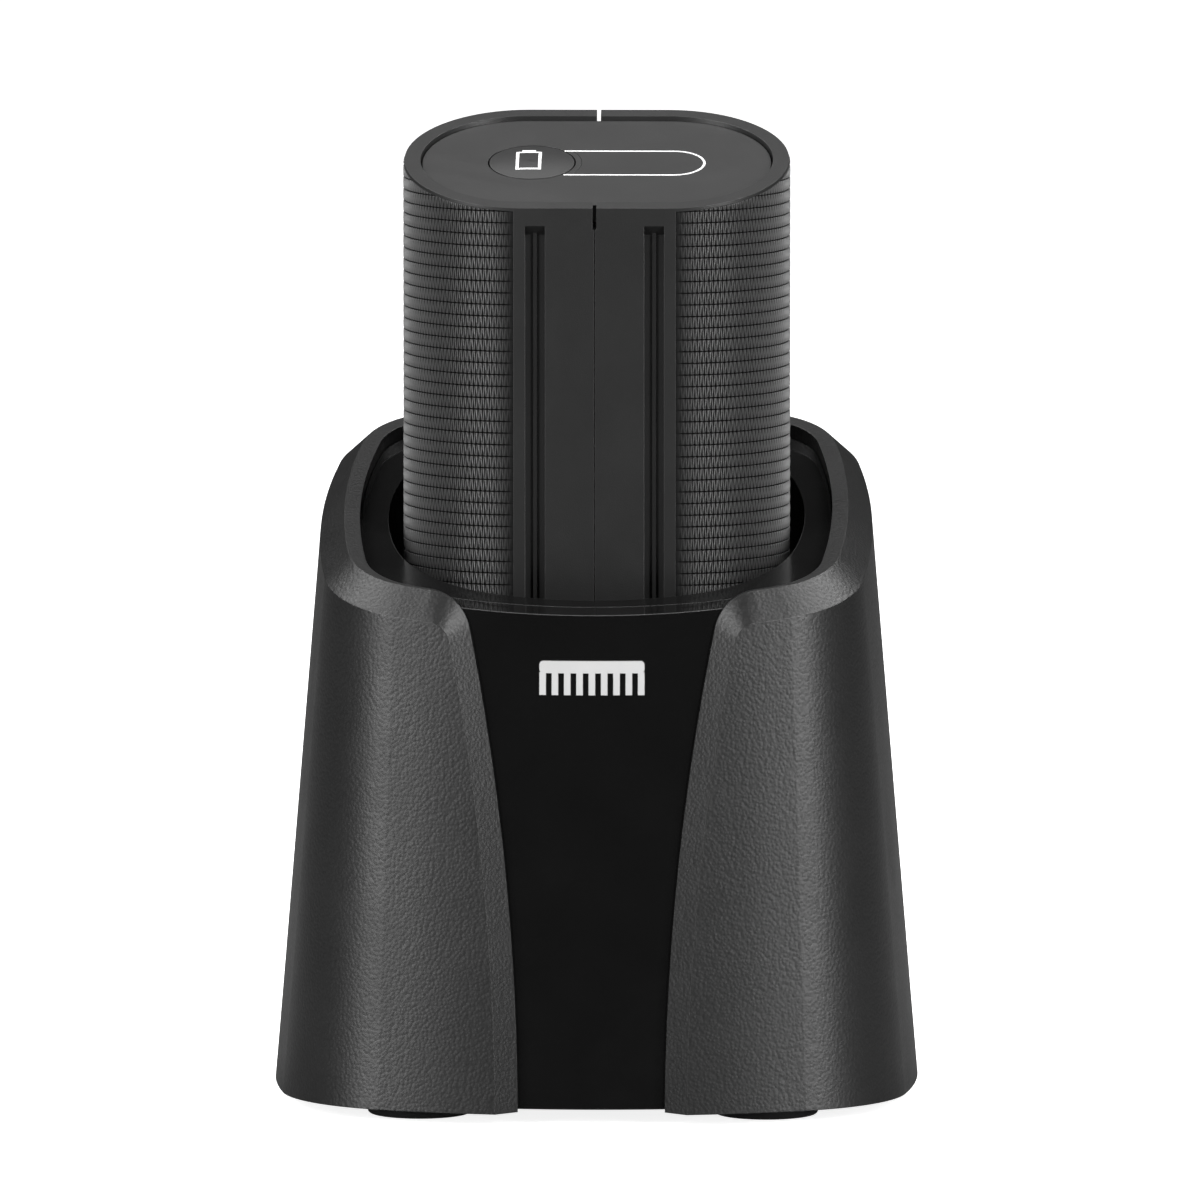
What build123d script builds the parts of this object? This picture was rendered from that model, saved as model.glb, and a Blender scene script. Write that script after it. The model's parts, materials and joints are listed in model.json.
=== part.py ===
from build123d import *
import math
import os

os.makedirs("parts", exist_ok=True)

# A charging stand for a cordless hair clipper, with the clipper's battery pack standing in its well.
# Millimetres, +Z up, front towards -Y. The origin is on the table, below the middle of the stand.

# ---------------------------------------------------------------- stand: driving sizes
stand_width = 80.4          # over the sides, at the bottom edge
stand_depth = 78.0          # front to back, at the bottom edge
side_radius = 116.0         # long bulge of the two sides
front_radius = 70.0         # long bulge of the front and the back
corner_radius = 20.0
side_taper = 4.73           # degrees that the walls lean in
foot_height = 1.5           # the bottom edge stands this far off the table
slope = 17.0                # degrees that the rim and the pack's top fall towards the front
rim_height = 74.1           # of the rim plane, above the table, in the middle
wall = 3.0
rim_bevel = 2.8             # bevel round the rim and down both edges of the front opening
rim_flat = 2.0              # level band inside the bevel, at the sides and the back
rim_front_flat = 0.2        # the same band, at the front

# front opening
opening_foot = 9.1          # half its width at the bottom edge
opening_radius = 310.0      # its edges lean outwards on this radius
opening_corner = 4.6        # rounding where its edges meet the rim

# front panel, deck and well
panel_gap = 0.1             # between the shell's inner face and the panel
panel_thickness = 2.4
panel_lap = 4.0             # how far the panel reaches behind each edge of the opening
panel_lift = 0.35           # panel's bottom edge above the shell's
deck_drop = 1.8             # deck below the rim
deck_thickness = 2.0
deck_gap = 0.12
ledge_width = 1.1           # the ledge that the deck lies on
ledge_thickness = 2.0
ledge_root = 1.0            # how far it runs into the shell's wall
mouth_side_room = 2.0       # between the pack and the mouth at each side
mouth_front_room = 9.9      # the same at the front and the back, where the clipper's body is wider
mouth_shift = -1.2          # the mouth's middle is this far in front of the pack's
mouth_corner = 19.0
mouth_side_radius = 42.0
mouth_front_radius = 40.0
liner_wall = 1.6
seat_floor = 24.0           # height of the seat that the pack stands on
seat_floor_thickness = 2.0
seat_height = 18.0          # straight stretch that guides the pack
funnel_angle = 31.0         # degrees that the well opens above the seat

# base, ballast and feet
base_thickness = 3.0
base_gap = 0.15
foot_diameter = 13.0
foot_spacing_x = 43.0
foot_spacing_y = 50.0
foot_recess = 1.0
boss_side_room = 9.7        # from each boss's middle to the shell's widest outline
boss_spacing_x = stand_width - 2 * boss_side_room
boss_spacing_y = 16.0
boss_diameter = 7.0
boss_top = 20.0
screw_diameter = 2.4
screw_head = 5.4
screw_clearance = 0.1
ballast_width = 34.0
ballast_depth = 44.0
ballast_thickness = 4.0
ballast_shift = -2.0
dowel_diameter = 4.0
dowel_spacing = 24.0

# charge board and its parts
board_height = 12.0         # underside of the board above the table
board_thickness = 1.6
board_width = 48.0
board_depth = 40.0
board_shift = 3.0
tongue_width = 16.0         # narrow rear end that carries the inlet
tongue_length = 10.0
post_diameter = 4.6
post_inset_x = 3.0
post_inset_y = 3.0
jack_width = 9.0
jack_height = 9.6
jack_length = 13.0
jack_nose = 8.0
jack_bore = 5.6
jack_bore_depth = 9.5
jack_pin_diameter = 2.0
jack_recess = 0.8           # the inlet's mouth sits this far inside the shell

# parts on the charge board, and their places from its middle
inductor_width = 7.2
inductor_height = 4.2
inductor_round = 1.4
inductor_place = (-13.0, 11.0)
capacitor_base = 6.6
capacitor_base_height = 0.8
capacitor_diameter = 6.3
capacitor_height = 7.4
capacitor_places = ((13.0, 9.0), (-13.0, -12.0))
chip_width = 6.0
chip_depth = 5.0
chip_height = 1.3
chip_places = ((0.0, 10.0), (13.0, -11.0))
board_corner = 1.5
board_screw_head = 4.2
board_screw_head_height = 1.2
board_screw_length = 7.0
slot_width = 0.7            # of the recess in a screw's head
slot_length = 2.6
slot_depth = 0.6

# spring contacts between stand and pack
contact_spacing = 16.0
plunger_tip = 2.3
shoulder_height = 1.2
shoulder_drop = 2.5         # the shoulder's stop, below the seat's floor
tail_diameter = 1.2
tail_pin = 3.0              # pin under each contact's tail, down through the board
tail_thickness = 0.3
tail_lift = 0.6             # tail's underside above the board
plunger_shoulder = 3.8
plunger_fit = 0.05          # radial clearance of the tip in its guide
plunger_travel = 0.8
contact_gap = 0.05          # between a plunger and its pad
spring_wire = 0.35
spring_turns = 6
block_end = 5.5             # block beyond the middle of each contact
block_depth = 10.0
block_gap = 0.2

# ---------------------------------------------------------------- battery pack: driving sizes
pack_height = 116.6         # of its top edge above the table, in the middle
pack_wall = 2.8
pack_rim = 2.0              # wall beside the end cap
pack_bottom_wall = 2.0
pack_foot_bevel = 0.6
seat_gap = 0.2              # between the pack's bottom and the seat
seat_clearance = 0.3        # round the pack in its seat
seam_gap = 0.05             # each half stops this far short of the middle
tongue_reach = 1.0          # lip that lines the two halves up
tongue_wall = 0.9
tongue_drop = 12.0          # lip's upper end below the top edge, in the middle
slit_width = 0.5
slit_depth = 2.6
strip_half = 10.1           # half the width of the smooth strip at the front and the back
grip_thickness = 0.9
grip_bottom = 1.2           # grip's lower edge above the pack's bottom
grip_top = 0.4              # grip's upper edge below the pack's top edge
groove_spacing = 14.8
groove_width = 2.5
groove_depth = 1.2
groove_ridge = 0.5          # thin ridge along the floor of each groove
groove_top = 2.2            # groove's upper end below the top edge at the front
guide_rib_width = 1.7
rib_lead = 2.0              # each rib ends this far below the seat's top
guide_rib_height = 0.8      # how far each rib of the seat reaches into its groove

# end cap, check button and charge gauge
cap_recess = 0.5
cap_thickness = 2.0
cap_gap = 0.25
button_x = -8.1
button_diameter = 10.6
button_gap = 0.2
button_flange = 12.4
button_flange_thickness = 0.8
flange_gap = 0.1            # between the flange and the cap's underside
button_travel = 0.5
button_crown = 0.45         # its domed top, which stays below the rim
gauge_half = 3.9            # half the width of the gauge window
gauge_end = 13.6            # its far end, from the middle of the cap
gauge_thickness = 0.75
window_gap = 0.05           # between the gauge window and its recess, all round
lamp_count = 4
lamp_pitch = 3.6
lamp_hole = 1.6
gauge_board_drop = 3.6
gauge_board_thickness = 1.0
gauge_board_width = 36.0
gauge_board_depth = 17.0
gauge_post_spacing = 33.0
gauge_post_diameter = 3.6
gauge_screw_diameter = 1.5
gauge_screw_head = 3.2
gauge_screw_head_height = 0.9
lamp_width = 1.6
lamp_depth = 0.9
lamp_height = 0.7
stem_diameter = 3.0
stem_gap = 0.05             # between the button's stem and the switch, beyond the button's travel
switch_width = 4.6
switch_body = 1.3
switch_height = 1.65
switch_plunger = 2.2

# cells
cell_diameter = 18.4
cell_length = 65.0
cell_gap = 2.8              # between the two cells
cell_side_room = 4.2        # from a cell to the outside of the pack, at its ends
cell_front_room = 6.1       # the same at the front and the back
cell_bottom = 33.0
cell_edge = 0.6
cell_nub_diameter = 6.0
cell_nub = 0.8
socket_gap = 0.15           # round a cell in its carrier
carrier_plate = 3.0
carrier_rim = 5.0
carrier_gap = 0.2
carrier_hole = 4.0          # lets the nub through to its link
link_thickness = 0.3
link_width = 6.0
link_end = 4.0              # link beyond the middle of each cell
link_clearance = 0.2
pad_diameter = 4.4
pad_recess = 0.6
pad_flange_width = 1.2
pad_flange_thickness = 0.6
strip_width = 3.0
strip_inset = 1.5           # middle of each strip inside the shell's inner face
foam_width = 30.0
foam_depth = 15.0
foam_thickness = 1.0
protection_width = 36.0
protection_depth = 18.0
protection_thickness = 1.2
corner_round = 4.0          # corners of the two boards in the pack

# ---------------------------------------------------------------- worked-out sizes
rise = math.tan(math.radians(slope))
lean = math.tan(math.radians(side_taper))
form_height = rim_height + rise * stand_depth / 2 + 12.0
panel_recess = wall + panel_gap
panel_back = panel_recess + panel_thickness
rim_band = rim_bevel + rim_flat
front_band = rim_bevel + rim_front_flat
deck_height = rim_height - deck_drop
board_top = board_height + board_thickness
base_top = foot_height + base_thickness
cell_spacing = cell_diameter + cell_gap
pack_width = cell_spacing + cell_diameter + 2 * cell_side_room
pack_depth = cell_diameter + 2 * cell_front_room
mouth_width = pack_width + 2 * mouth_side_room
mouth_depth = pack_depth + 2 * mouth_front_room
seat_width = pack_width + 2 * seat_clearance
seat_depth = pack_depth + 2 * seat_clearance
pack_bottom = seat_floor + seat_gap
contact_x = contact_spacing / 2
block_width = contact_spacing + 2 * block_end
standing = (Align.CENTER, Align.CENTER, Align.MIN)
hanging = (Align.CENTER, Align.CENTER, Align.MAX)


def save(piece, name):
    """Label a finished piece and write it."""
    piece.part.label = name
    export_step(piece.part, f"parts/{name}.step")


def slanted(height, drop=0.0):
    """Plane parallel to the rim, through the given height in the middle, lowered squarely by drop."""
    angle = math.radians(slope)
    normal = Vector(0, -math.sin(angle), math.cos(angle))
    return Plane(origin=Vector(0, 0, height) - normal * drop, x_dir=(1, 0, 0), z_dir=normal)


def rounded_outline(width, depth, side_r, front_r, corner_r):
    """A rounded square of eight tangent arcs: two bulged sides, a bulged front and back, four corners."""
    front_centre = Vector(0, depth / 2 - front_r)
    side_centre = Vector(width / 2 - side_r, 0)
    apart = side_centre - front_centre
    to_front = front_r - corner_r
    to_side = side_r - corner_r
    along = (to_front**2 - to_side**2 + apart.length**2) / (2 * apart.length)
    aside = math.sqrt(to_front**2 - along**2)
    unit = apart.normalized()
    corner = front_centre + unit * along + Vector(unit.Y, -unit.X) * aside
    if corner.X < 0:
        corner = front_centre + unit * along - Vector(unit.Y, -unit.X) * aside
    front_way = (corner - front_centre).normalized()
    side_way = (corner - side_centre).normalized()
    a = corner + front_way * corner_r
    b = corner + side_way * corner_r
    m = corner + (front_way + side_way).normalized() * corner_r
    with BuildSketch() as outline:
        with BuildLine():
            for sx, sy in ((1, 1), (1, -1), (-1, -1), (-1, 1)):
                ThreePointArc((sx * b.X, sy * b.Y), (sx * m.X, sy * m.Y), (sx * a.X, sy * a.Y))
            for s in (1, -1):
                ThreePointArc((-a.X, s * a.Y), (0, s * depth / 2), (a.X, s * a.Y))
                ThreePointArc((s * b.X, b.Y), (s * width / 2, 0), (s * b.X, -b.Y))
        make_face()
    return outline.sketch


def stand_form(inset, low=None, high=None, front_inset=None):
    """The stand's tapered block, drawn in by inset and kept between two planes."""
    forward = inset - (inset if front_inset is None else front_inset)
    width = stand_width - 2 * inset
    depth = stand_depth - 2 * inset + forward
    radii = [radius - inset for radius in (side_radius, front_radius, corner_radius)]
    outline = rounded_outline(width, depth, *radii)
    with BuildPart() as form:
        with BuildSketch(Plane.XY.offset(foot_height)):
            with Locations((0, -forward / 2)):
                add(outline)
        extrude(amount=form_height, taper=side_taper)
        if high is not None:
            split(bisect_by=high, keep=Keep.BOTTOM)
        if low is not None:
            split(bisect_by=low, keep=Keep.TOP)
    return form.part


def opening_prism(wider=0.0, start=0.0):
    """The front opening as a prism that runs forwards from the depth start."""
    top = rim_height
    half = top / 2

    def edge(height):
        reach = math.sqrt(opening_radius**2 - height**2)
        return opening_foot + opening_radius - reach + wider

    with BuildPart() as prism:
        with BuildSketch(Plane.XZ.offset(-start)):
            with Locations((0, foot_height)):
                with BuildLine():
                    Line((-edge(0), -foot_height), (edge(0), -foot_height))
                    Line((edge(0), -foot_height), (edge(0), 0))
                    ThreePointArc((edge(0), 0), (edge(half), half), (edge(top), top))
                    Line((edge(top), top), (-edge(top), top))
                    ThreePointArc((-edge(top), top), (-edge(half), half), (-edge(0), 0))
                    Line((-edge(0), 0), (-edge(0), -foot_height))
                make_face()
        extrude(amount=stand_depth)
    return prism.part


def obround(width, depth):
    """An outline with two straight sides and two half-round ends."""
    with BuildSketch() as outline:
        SlotOverall(width, depth)
    return outline.sketch


def obround_block(inset, low, high):
    """The pack's outline, drawn in by inset, from one height to another."""
    outline = obround(pack_width - 2 * inset, pack_depth - 2 * inset)
    with BuildPart() as block:
        with BuildSketch(Plane.XY.offset(low)):
            add(outline)
        extrude(amount=high - low)
    return block.part


# ---------------------------------------------------------------- outer shell
# A tapered rounded-square shell. Its top is cut on a slope, its front is open, and one bevel runs
# round the rim and down both edges of the opening. A ledge inside the rim carries the deck.
outer_block = stand_form(0.0, high=slanted(rim_height))
rim_hollow = stand_form(rim_band, front_inset=front_band)
ledge_top = deck_height - deck_thickness
ledge_bottom = ledge_top - ledge_thickness
wall_hollow = stand_form(wall, high=slanted(ledge_bottom))
panel_space = opening_prism(wider=panel_lap + panel_gap)
front_opening = opening_prism(start=-stand_depth / 4)
ledge_ring = stand_form(wall - ledge_root, low=slanted(ledge_bottom), high=slanted(ledge_top))
ledge_ring = ledge_ring - stand_form(rim_band + ledge_width) - panel_space
boss_form = stand_form(wall / 2)

with BuildPart() as boss_webs:
    with BuildSketch(Plane.XY.offset(base_top + base_gap)):
        with GridLocations(boss_spacing_x, boss_spacing_y, 2, 2):
            Circle(boss_diameter / 2)
        for side in (1, -1):
            with GridLocations(0, boss_spacing_y, 1, 2):
                with Locations((side * (boss_spacing_x + boss_diameter) / 2, 0)):
                    Rectangle(boss_diameter, wall)
    extrude(amount=boss_top - base_top - base_gap)
    add(boss_form, mode=Mode.INTERSECT)

jack_centre = board_top + jack_height / 2
back_wall = stand_depth / 2 - lean * (jack_centre - foot_height)
jack_mouth = back_wall - jack_recess

with BuildPart() as shell_body:
    add(outer_block)
    add(front_opening, mode=Mode.SUBTRACT)
    opening_corners = (
        shell_body.edges()
        .filter_by(lambda e: abs(e.tangent_at(0.5).Y) > 0.9)
        .filter_by(lambda e: e.center().Y < 0 and e.center().Z > rim_height / 2)
        .filter_by(lambda e: 1.0 < abs(e.center().X) < stand_width / 4)
    )
    fillet(opening_corners, radius=opening_corner)

skin = stand_form(0.0).shells()[0]


def on_skin(edge):
    """True for an edge that lies on the outside of the tapered block."""
    return all(skin.distance_to(Vertex(edge.position_at(u))) < 0.001 for u in (0.1, 0.5, 0.9))


with BuildPart() as outer_shell:
    add(shell_body.part)
    bevel_edges = (
        outer_shell.edges()
        .filter_by(GeomType.LINE, reverse=True)
        .filter_by(lambda e: e.center().Z > foot_height + 1.0)
        .filter_by(on_skin)
    )
    chamfer(bevel_edges, length=rim_bevel)
    add(rim_hollow, mode=Mode.SUBTRACT)
    add(wall_hollow, mode=Mode.SUBTRACT)
    add(ledge_ring)
    add(boss_webs.part)
    with Locations(Plane.XY.offset(base_top + base_gap)):
        with GridLocations(boss_spacing_x, boss_spacing_y, 2, 2):
            Cylinder(
                screw_diameter / 2 + screw_clearance / 2,
                boss_top - base_top - wall,
                align=standing,
                mode=Mode.SUBTRACT,
            )
    with BuildSketch(Plane.XZ.offset(-back_wall + 2 * wall)):
        with Locations((0, jack_centre)):
            Circle(jack_nose / 2 + block_gap)
    extrude(amount=-4 * wall, mode=Mode.SUBTRACT)
save(outer_shell, "outer_shell")

# ---------------------------------------------------------------- front panel and its comb badge
# A curved glossy panel that stands behind the opening, with a small raised comb.
badge_height = 55.0
badge_width = 13.0
badge_back = 1.5            # thickness of the comb's spine, as seen
badge_teeth = 9
badge_tooth = 0.8
badge_tooth_length = 2.8
badge_root = 0.1            # how far each tooth runs into the spine
badge_proud = 0.15
badge_sunk = 0.3

with BuildPart() as badge_prism:
    with BuildSketch(Plane.XZ.offset(0)):
        with Locations((0, badge_height + badge_back)):
            RectangleRounded(badge_width, badge_back, badge_back / 3)
        tooth_pitch = (badge_width - badge_tooth) / (badge_teeth - 1)
        with Locations((0, badge_height + badge_back / 2 - badge_tooth_length / 2 + badge_root)):
            with GridLocations(tooth_pitch, 1, badge_teeth, 1):
                Rectangle(badge_tooth, badge_tooth_length)
    extrude(amount=stand_depth)
badge_band = stand_form(panel_recess - badge_proud) - stand_form(panel_recess + badge_sunk)

with BuildPart() as front_badge:
    add(badge_prism.part)
    add(badge_band, mode=Mode.INTERSECT)
save(front_badge, "front_badge")

panel_prism = opening_prism(wider=panel_lap)
panel_foot = Plane.XY.offset(foot_height + panel_lift)
panel_outer = stand_form(panel_recess, low=panel_foot, high=slanted(deck_height))
panel_inner = stand_form(panel_back)
with BuildPart() as front_panel:
    add(panel_outer)
    add(panel_inner, mode=Mode.SUBTRACT)
    add(panel_prism, mode=Mode.INTERSECT)
    add(front_badge.part, mode=Mode.SUBTRACT)
save(front_panel, "front_panel")

# ---------------------------------------------------------------- well liner
# One glossy moulding: the sloping deck inside the rim, the mouth, and the well that narrows to the
# seat. Two ribs stand on the seat's front wall, and a slot in its floor lets the contacts through.
deck_blank = stand_form(
    rim_band + deck_gap,
    low=slanted(deck_height - deck_thickness),
    high=slanted(deck_height),
    front_inset=front_band + deck_gap,
)
deck_front_space = opening_prism(wider=panel_lap + panel_gap) - stand_form(panel_back + deck_gap)


def mouth_block(outset, low):
    """The mouth's outline, drawn out by outset, as an upright block up to the deck."""
    outline = rounded_outline(
        mouth_width + 2 * outset,
        mouth_depth + 2 * outset,
        mouth_side_radius + outset,
        mouth_front_radius + outset,
        mouth_corner + outset,
    )
    with BuildPart() as block:
        with BuildSketch(Plane.XY.offset(low)):
            with Locations((0, mouth_shift)):
                add(outline)
        extrude(amount=form_height - low)
        split(bisect_by=slanted(deck_height), keep=Keep.BOTTOM)
    return block.part


def well_space(outset, low):
    """The seat's straight stretch, and above it the funnel that opens out to the mouth."""
    seat_top = seat_floor + seat_height
    mouth = mouth_block(outset, seat_top)
    seat = obround(seat_width + 2 * outset, seat_depth + 2 * outset)
    with BuildPart() as space:
        with BuildSketch(Plane.XY.offset(seat_top)):
            add(seat)
        extrude(amount=form_height - seat_top, taper=-funnel_angle)
        add(mouth, mode=Mode.INTERSECT)
        with BuildSketch(Plane.XY.offset(low)):
            add(seat)
        extrude(amount=seat_top - low)
    return space.part


liner_outside = well_space(liner_wall, seat_floor - seat_floor_thickness)
liner_inside = well_space(0, seat_floor)
rib_top = seat_floor + seat_height - rib_lead
rib_reach = seat_clearance + guide_rib_height

with BuildPart() as well_liner:
    add(deck_blank)
    add(deck_front_space, mode=Mode.SUBTRACT)
    add(liner_outside)
    add(liner_inside, mode=Mode.SUBTRACT)
    with BuildSketch(Plane.XY.offset(seat_floor)):
        with Locations((0, -seat_depth / 2 + rib_reach / 2 - liner_wall / 4)):
            with GridLocations(groove_spacing, 0, 2, 1):
                Rectangle(guide_rib_width, rib_reach + liner_wall / 2)
    extrude(amount=rib_top - seat_floor)
    with Locations((0, 0, seat_floor)):
        Box(
            block_width + 2 * block_gap,
            block_depth + 2 * block_gap,
            2 * seat_floor_thickness + 1.0,
            mode=Mode.SUBTRACT,
        )
save(well_liner, "well_liner")

# ---------------------------------------------------------------- base plate, screws, feet, ballast
foot_spots = {
    "front_left": (-foot_spacing_x / 2, -foot_spacing_y / 2),
    "front_right": (foot_spacing_x / 2, -foot_spacing_y / 2),
    "rear_left": (-foot_spacing_x / 2, foot_spacing_y / 2),
    "rear_right": (foot_spacing_x / 2, foot_spacing_y / 2),
}
post_spacing_x = board_width - 2 * post_inset_x
post_spacing_y = board_depth - 2 * post_inset_y
base_blank = stand_form(wall + base_gap, high=Plane.XY.offset(base_top))
base_front_space = opening_prism(wider=panel_lap + panel_gap) - stand_form(panel_back + base_gap)

with BuildPart() as base_plate:
    add(base_blank)
    add(base_front_space, mode=Mode.SUBTRACT)
    with Locations((0, board_shift, base_top)):
        with GridLocations(post_spacing_x, post_spacing_y, 2, 2):
            Cylinder(post_diameter / 2, board_height - base_top, align=standing)
    with Locations((0, ballast_shift, base_top)):
        with GridLocations(0, dowel_spacing, 1, 2):
            Cylinder(
                dowel_diameter / 2, ballast_thickness + 0.6, align=standing
            )
    with Locations(Plane(origin=(0, 0, foot_height), z_dir=(0, 0, -1))):
        with GridLocations(boss_spacing_x, boss_spacing_y, 2, 2):
            CounterSinkHole(screw_diameter / 2 + screw_clearance, screw_head / 2 + screw_clearance)
    with Locations(Plane.XY.offset(foot_height)):
        for spot in foot_spots.values():
            with Locations(spot):
                Cylinder(
                    foot_diameter / 2 + screw_clearance,
                    2 * foot_recess,
                    mode=Mode.SUBTRACT,
                )
    with Locations((0, board_shift, board_height)):
        with GridLocations(post_spacing_x, post_spacing_y, 2, 2):
            Cylinder(
                screw_diameter / 2 - screw_clearance,
                2 * (board_height - base_top - 1.0),
                mode=Mode.SUBTRACT,
            )
save(base_plate, "base_plate")

with BuildPart() as base_screws:
    with Locations(Plane.XY.offset(foot_height + 0.1)):
        with GridLocations(boss_spacing_x, boss_spacing_y, 2, 2):
            Cone(
                screw_head / 2,
                screw_diameter / 2,
                (screw_head - screw_diameter) / 2,
                align=standing,
            )
            Cylinder(
                screw_diameter / 2,
                boss_top - foot_height - 2 * wall,
                align=standing,
            )
    with Locations(Plane.XY.offset(foot_height)):
        with GridLocations(boss_spacing_x, boss_spacing_y, 2, 2):
            Box(slot_width, slot_length, 2 * slot_depth, mode=Mode.SUBTRACT)
            Box(slot_length, slot_width, 2 * slot_depth, mode=Mode.SUBTRACT)
save(base_screws, "base_screws")

for spot_name, spot in foot_spots.items():
    with BuildPart() as foot:
        with Locations((spot[0], spot[1], 0)):
            Cylinder(
                foot_diameter / 2, foot_height + foot_recess, align=standing
            )
        fillet(foot.edges().group_by(Axis.Z)[0], radius=foot_height / 3)
    save(foot, f"foot_{spot_name}")

with BuildPart() as ballast_plate:
    with BuildSketch(Plane.XY.offset(base_top)):
        with Locations((0, ballast_shift)):
            RectangleRounded(ballast_width, ballast_depth, wall)
            with GridLocations(0, dowel_spacing, 1, 2):
                Circle(dowel_diameter / 2 + screw_clearance, mode=Mode.SUBTRACT)
    extrude(amount=ballast_thickness)
save(ballast_plate, "ballast_plate")

# ---------------------------------------------------------------- charge board and its parts
with BuildPart() as charge_board:
    with BuildSketch(Plane.XY.offset(board_height)):
        with Locations((0, board_shift)):
            RectangleRounded(board_width, board_depth, board_corner)
            with Locations((0, board_depth / 2 - board_corner)):
                Rectangle(tongue_width, tongue_length + board_corner, align=(Align.CENTER, Align.MIN))
            with GridLocations(post_spacing_x, post_spacing_y, 2, 2):
                Circle(screw_diameter / 2 + screw_clearance, mode=Mode.SUBTRACT)
    extrude(amount=board_thickness)
    with Locations((0, 0, board_top)):
        with GridLocations(contact_spacing, 0, 2, 1):
            Cylinder(tail_diameter / 2 + screw_clearance, 4 * board_thickness, mode=Mode.SUBTRACT)
save(charge_board, "charge_board")

with BuildPart() as board_screws:
    with Locations((0, board_shift, board_top)):
        with GridLocations(post_spacing_x, post_spacing_y, 2, 2):
            Cylinder(board_screw_head / 2, board_screw_head_height, align=standing)
            Cylinder(screw_diameter / 2 - 1.5 * screw_clearance, board_screw_length, align=hanging)
            with Locations((0, 0, board_screw_head_height)):
                Box(slot_length, slot_width, 2 * slot_depth, mode=Mode.SUBTRACT)
save(board_screws, "board_screws")

with BuildPart() as board_inductor:
    with Locations((inductor_place[0], board_shift + inductor_place[1], board_top)):
        Box(inductor_width, inductor_width, inductor_height, align=standing)
        fillet(board_inductor.edges().filter_by(Axis.Z), radius=inductor_round)
save(board_inductor, "board_inductor")

with BuildPart() as board_capacitors:
    for place in capacitor_places:
        with Locations((place[0], board_shift + place[1], board_top)):
            Box(capacitor_base, capacitor_base, capacitor_base_height, align=standing)
            Cylinder(capacitor_diameter / 2, capacitor_height, align=standing)
save(board_capacitors, "board_capacitors")

with BuildPart() as board_chips:
    for place in chip_places:
        with Locations((place[0], board_shift + place[1], board_top)):
            Box(chip_width, chip_depth, chip_height, align=standing)
save(board_chips, "board_chips")

# Round power inlet: a square housing with a nose that looks out through the shell's back.
with BuildPart() as dc_jack:
    with Locations((0, jack_mouth - wall, board_top)):
        Box(jack_width, jack_length, jack_height, align=(Align.CENTER, Align.MAX, Align.MIN))
    with BuildSketch(Plane.XZ.offset(-jack_mouth)):
        with Locations((0, jack_centre)):
            Circle(jack_nose / 2)
    extrude(amount=wall + 1.0)
    with BuildSketch(Plane.XZ.offset(-jack_mouth)):
        with Locations((0, jack_centre)):
            Circle(jack_bore / 2)
    extrude(amount=jack_bore_depth, mode=Mode.SUBTRACT)
    with BuildSketch(Plane.XZ.offset(-jack_mouth + jack_bore_depth)):
        with Locations((0, jack_centre)):
            Circle(jack_pin_diameter / 2)
    extrude(amount=2.0, mode=Mode.SUBTRACT)
save(dc_jack, "dc_jack")

with BuildPart() as jack_pin:
    with BuildSketch(Plane.XZ.offset(-jack_mouth + jack_bore_depth + 2.0)):
        with Locations((0, jack_centre)):
            Circle(jack_pin_diameter / 2)
    extrude(amount=-jack_bore_depth - 1.2)
    fillet(jack_pin.edges().group_by(Axis.Y)[-1], radius=jack_pin_diameter / 4)
save(jack_pin, "jack_pin")

# ---------------------------------------------------------------- spring contacts
# A block on the charge board rises through the seat's floor. Two plungers stand in it on springs
# and press on the pads in the pack's bottom.
pad_face = pack_bottom + pad_recess
tip_top = pad_face - contact_gap
shoulder_stop = seat_floor - shoulder_drop
shoulder_top = shoulder_stop - plunger_travel
tail_floor = board_top + tail_lift
tail_top = tail_floor + tail_thickness

with BuildPart() as contact_block:
    with Locations((0, 0, board_top)):
        Box(block_width, block_depth, seat_floor - board_top, align=standing)
    fillet(contact_block.edges().filter_by(Axis.Z), radius=1.0)
    with Locations((0, 0, tail_floor)):
        with GridLocations(contact_spacing, 0, 2, 1):
            Cylinder(
                plunger_shoulder / 2 + plunger_fit,
                shoulder_stop - tail_floor,
                align=standing,
                mode=Mode.SUBTRACT,
            )
            Cylinder(
                plunger_tip / 2 + plunger_fit,
                2 * seat_floor,
                mode=Mode.SUBTRACT,
            )
save(contact_block, "contact_block")

with BuildPart() as contact_tails:
    with Locations((0, 0, tail_floor)):
        with GridLocations(contact_spacing, 0, 2, 1):
            Cylinder(
                plunger_shoulder / 2 - plunger_fit,
                tail_top - tail_floor,
                align=standing,
            )
            Cylinder(tail_diameter / 2, tail_pin, align=hanging)
save(contact_tails, "contact_tails")

spring_height = shoulder_top - shoulder_height - tail_top
coil_radius = plunger_shoulder / 2 - spring_wire / 2 - 2 * plunger_fit
for side_name, side in (("left", -1), ("right", 1)):
    with BuildPart() as plunger:
        with Locations((side * contact_x, 0, shoulder_top - shoulder_height)):
            Cylinder(
                plunger_shoulder / 2, shoulder_height, align=standing
            )
            Cylinder(
                plunger_tip / 2,
                tip_top - shoulder_top + shoulder_height,
                align=standing,
            )
        fillet(plunger.edges().group_by(Axis.Z)[-1], radius=plunger_tip / 3)
    save(plunger, f"contact_plunger_{side_name}")

    with BuildPart() as spring:
        with BuildLine():
            coil = Helix(
                pitch=(spring_height - spring_wire) / spring_turns,
                height=spring_height - spring_wire,
                radius=coil_radius,
                center=(side * contact_x, 0, tail_top + spring_wire / 2),
            )
        with BuildSketch(Plane(origin=coil @ 0, z_dir=coil % 0)):
            Circle(spring_wire / 2)
        sweep(is_frenet=True)
    save(spring, f"contact_spring_{side_name}")

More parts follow.
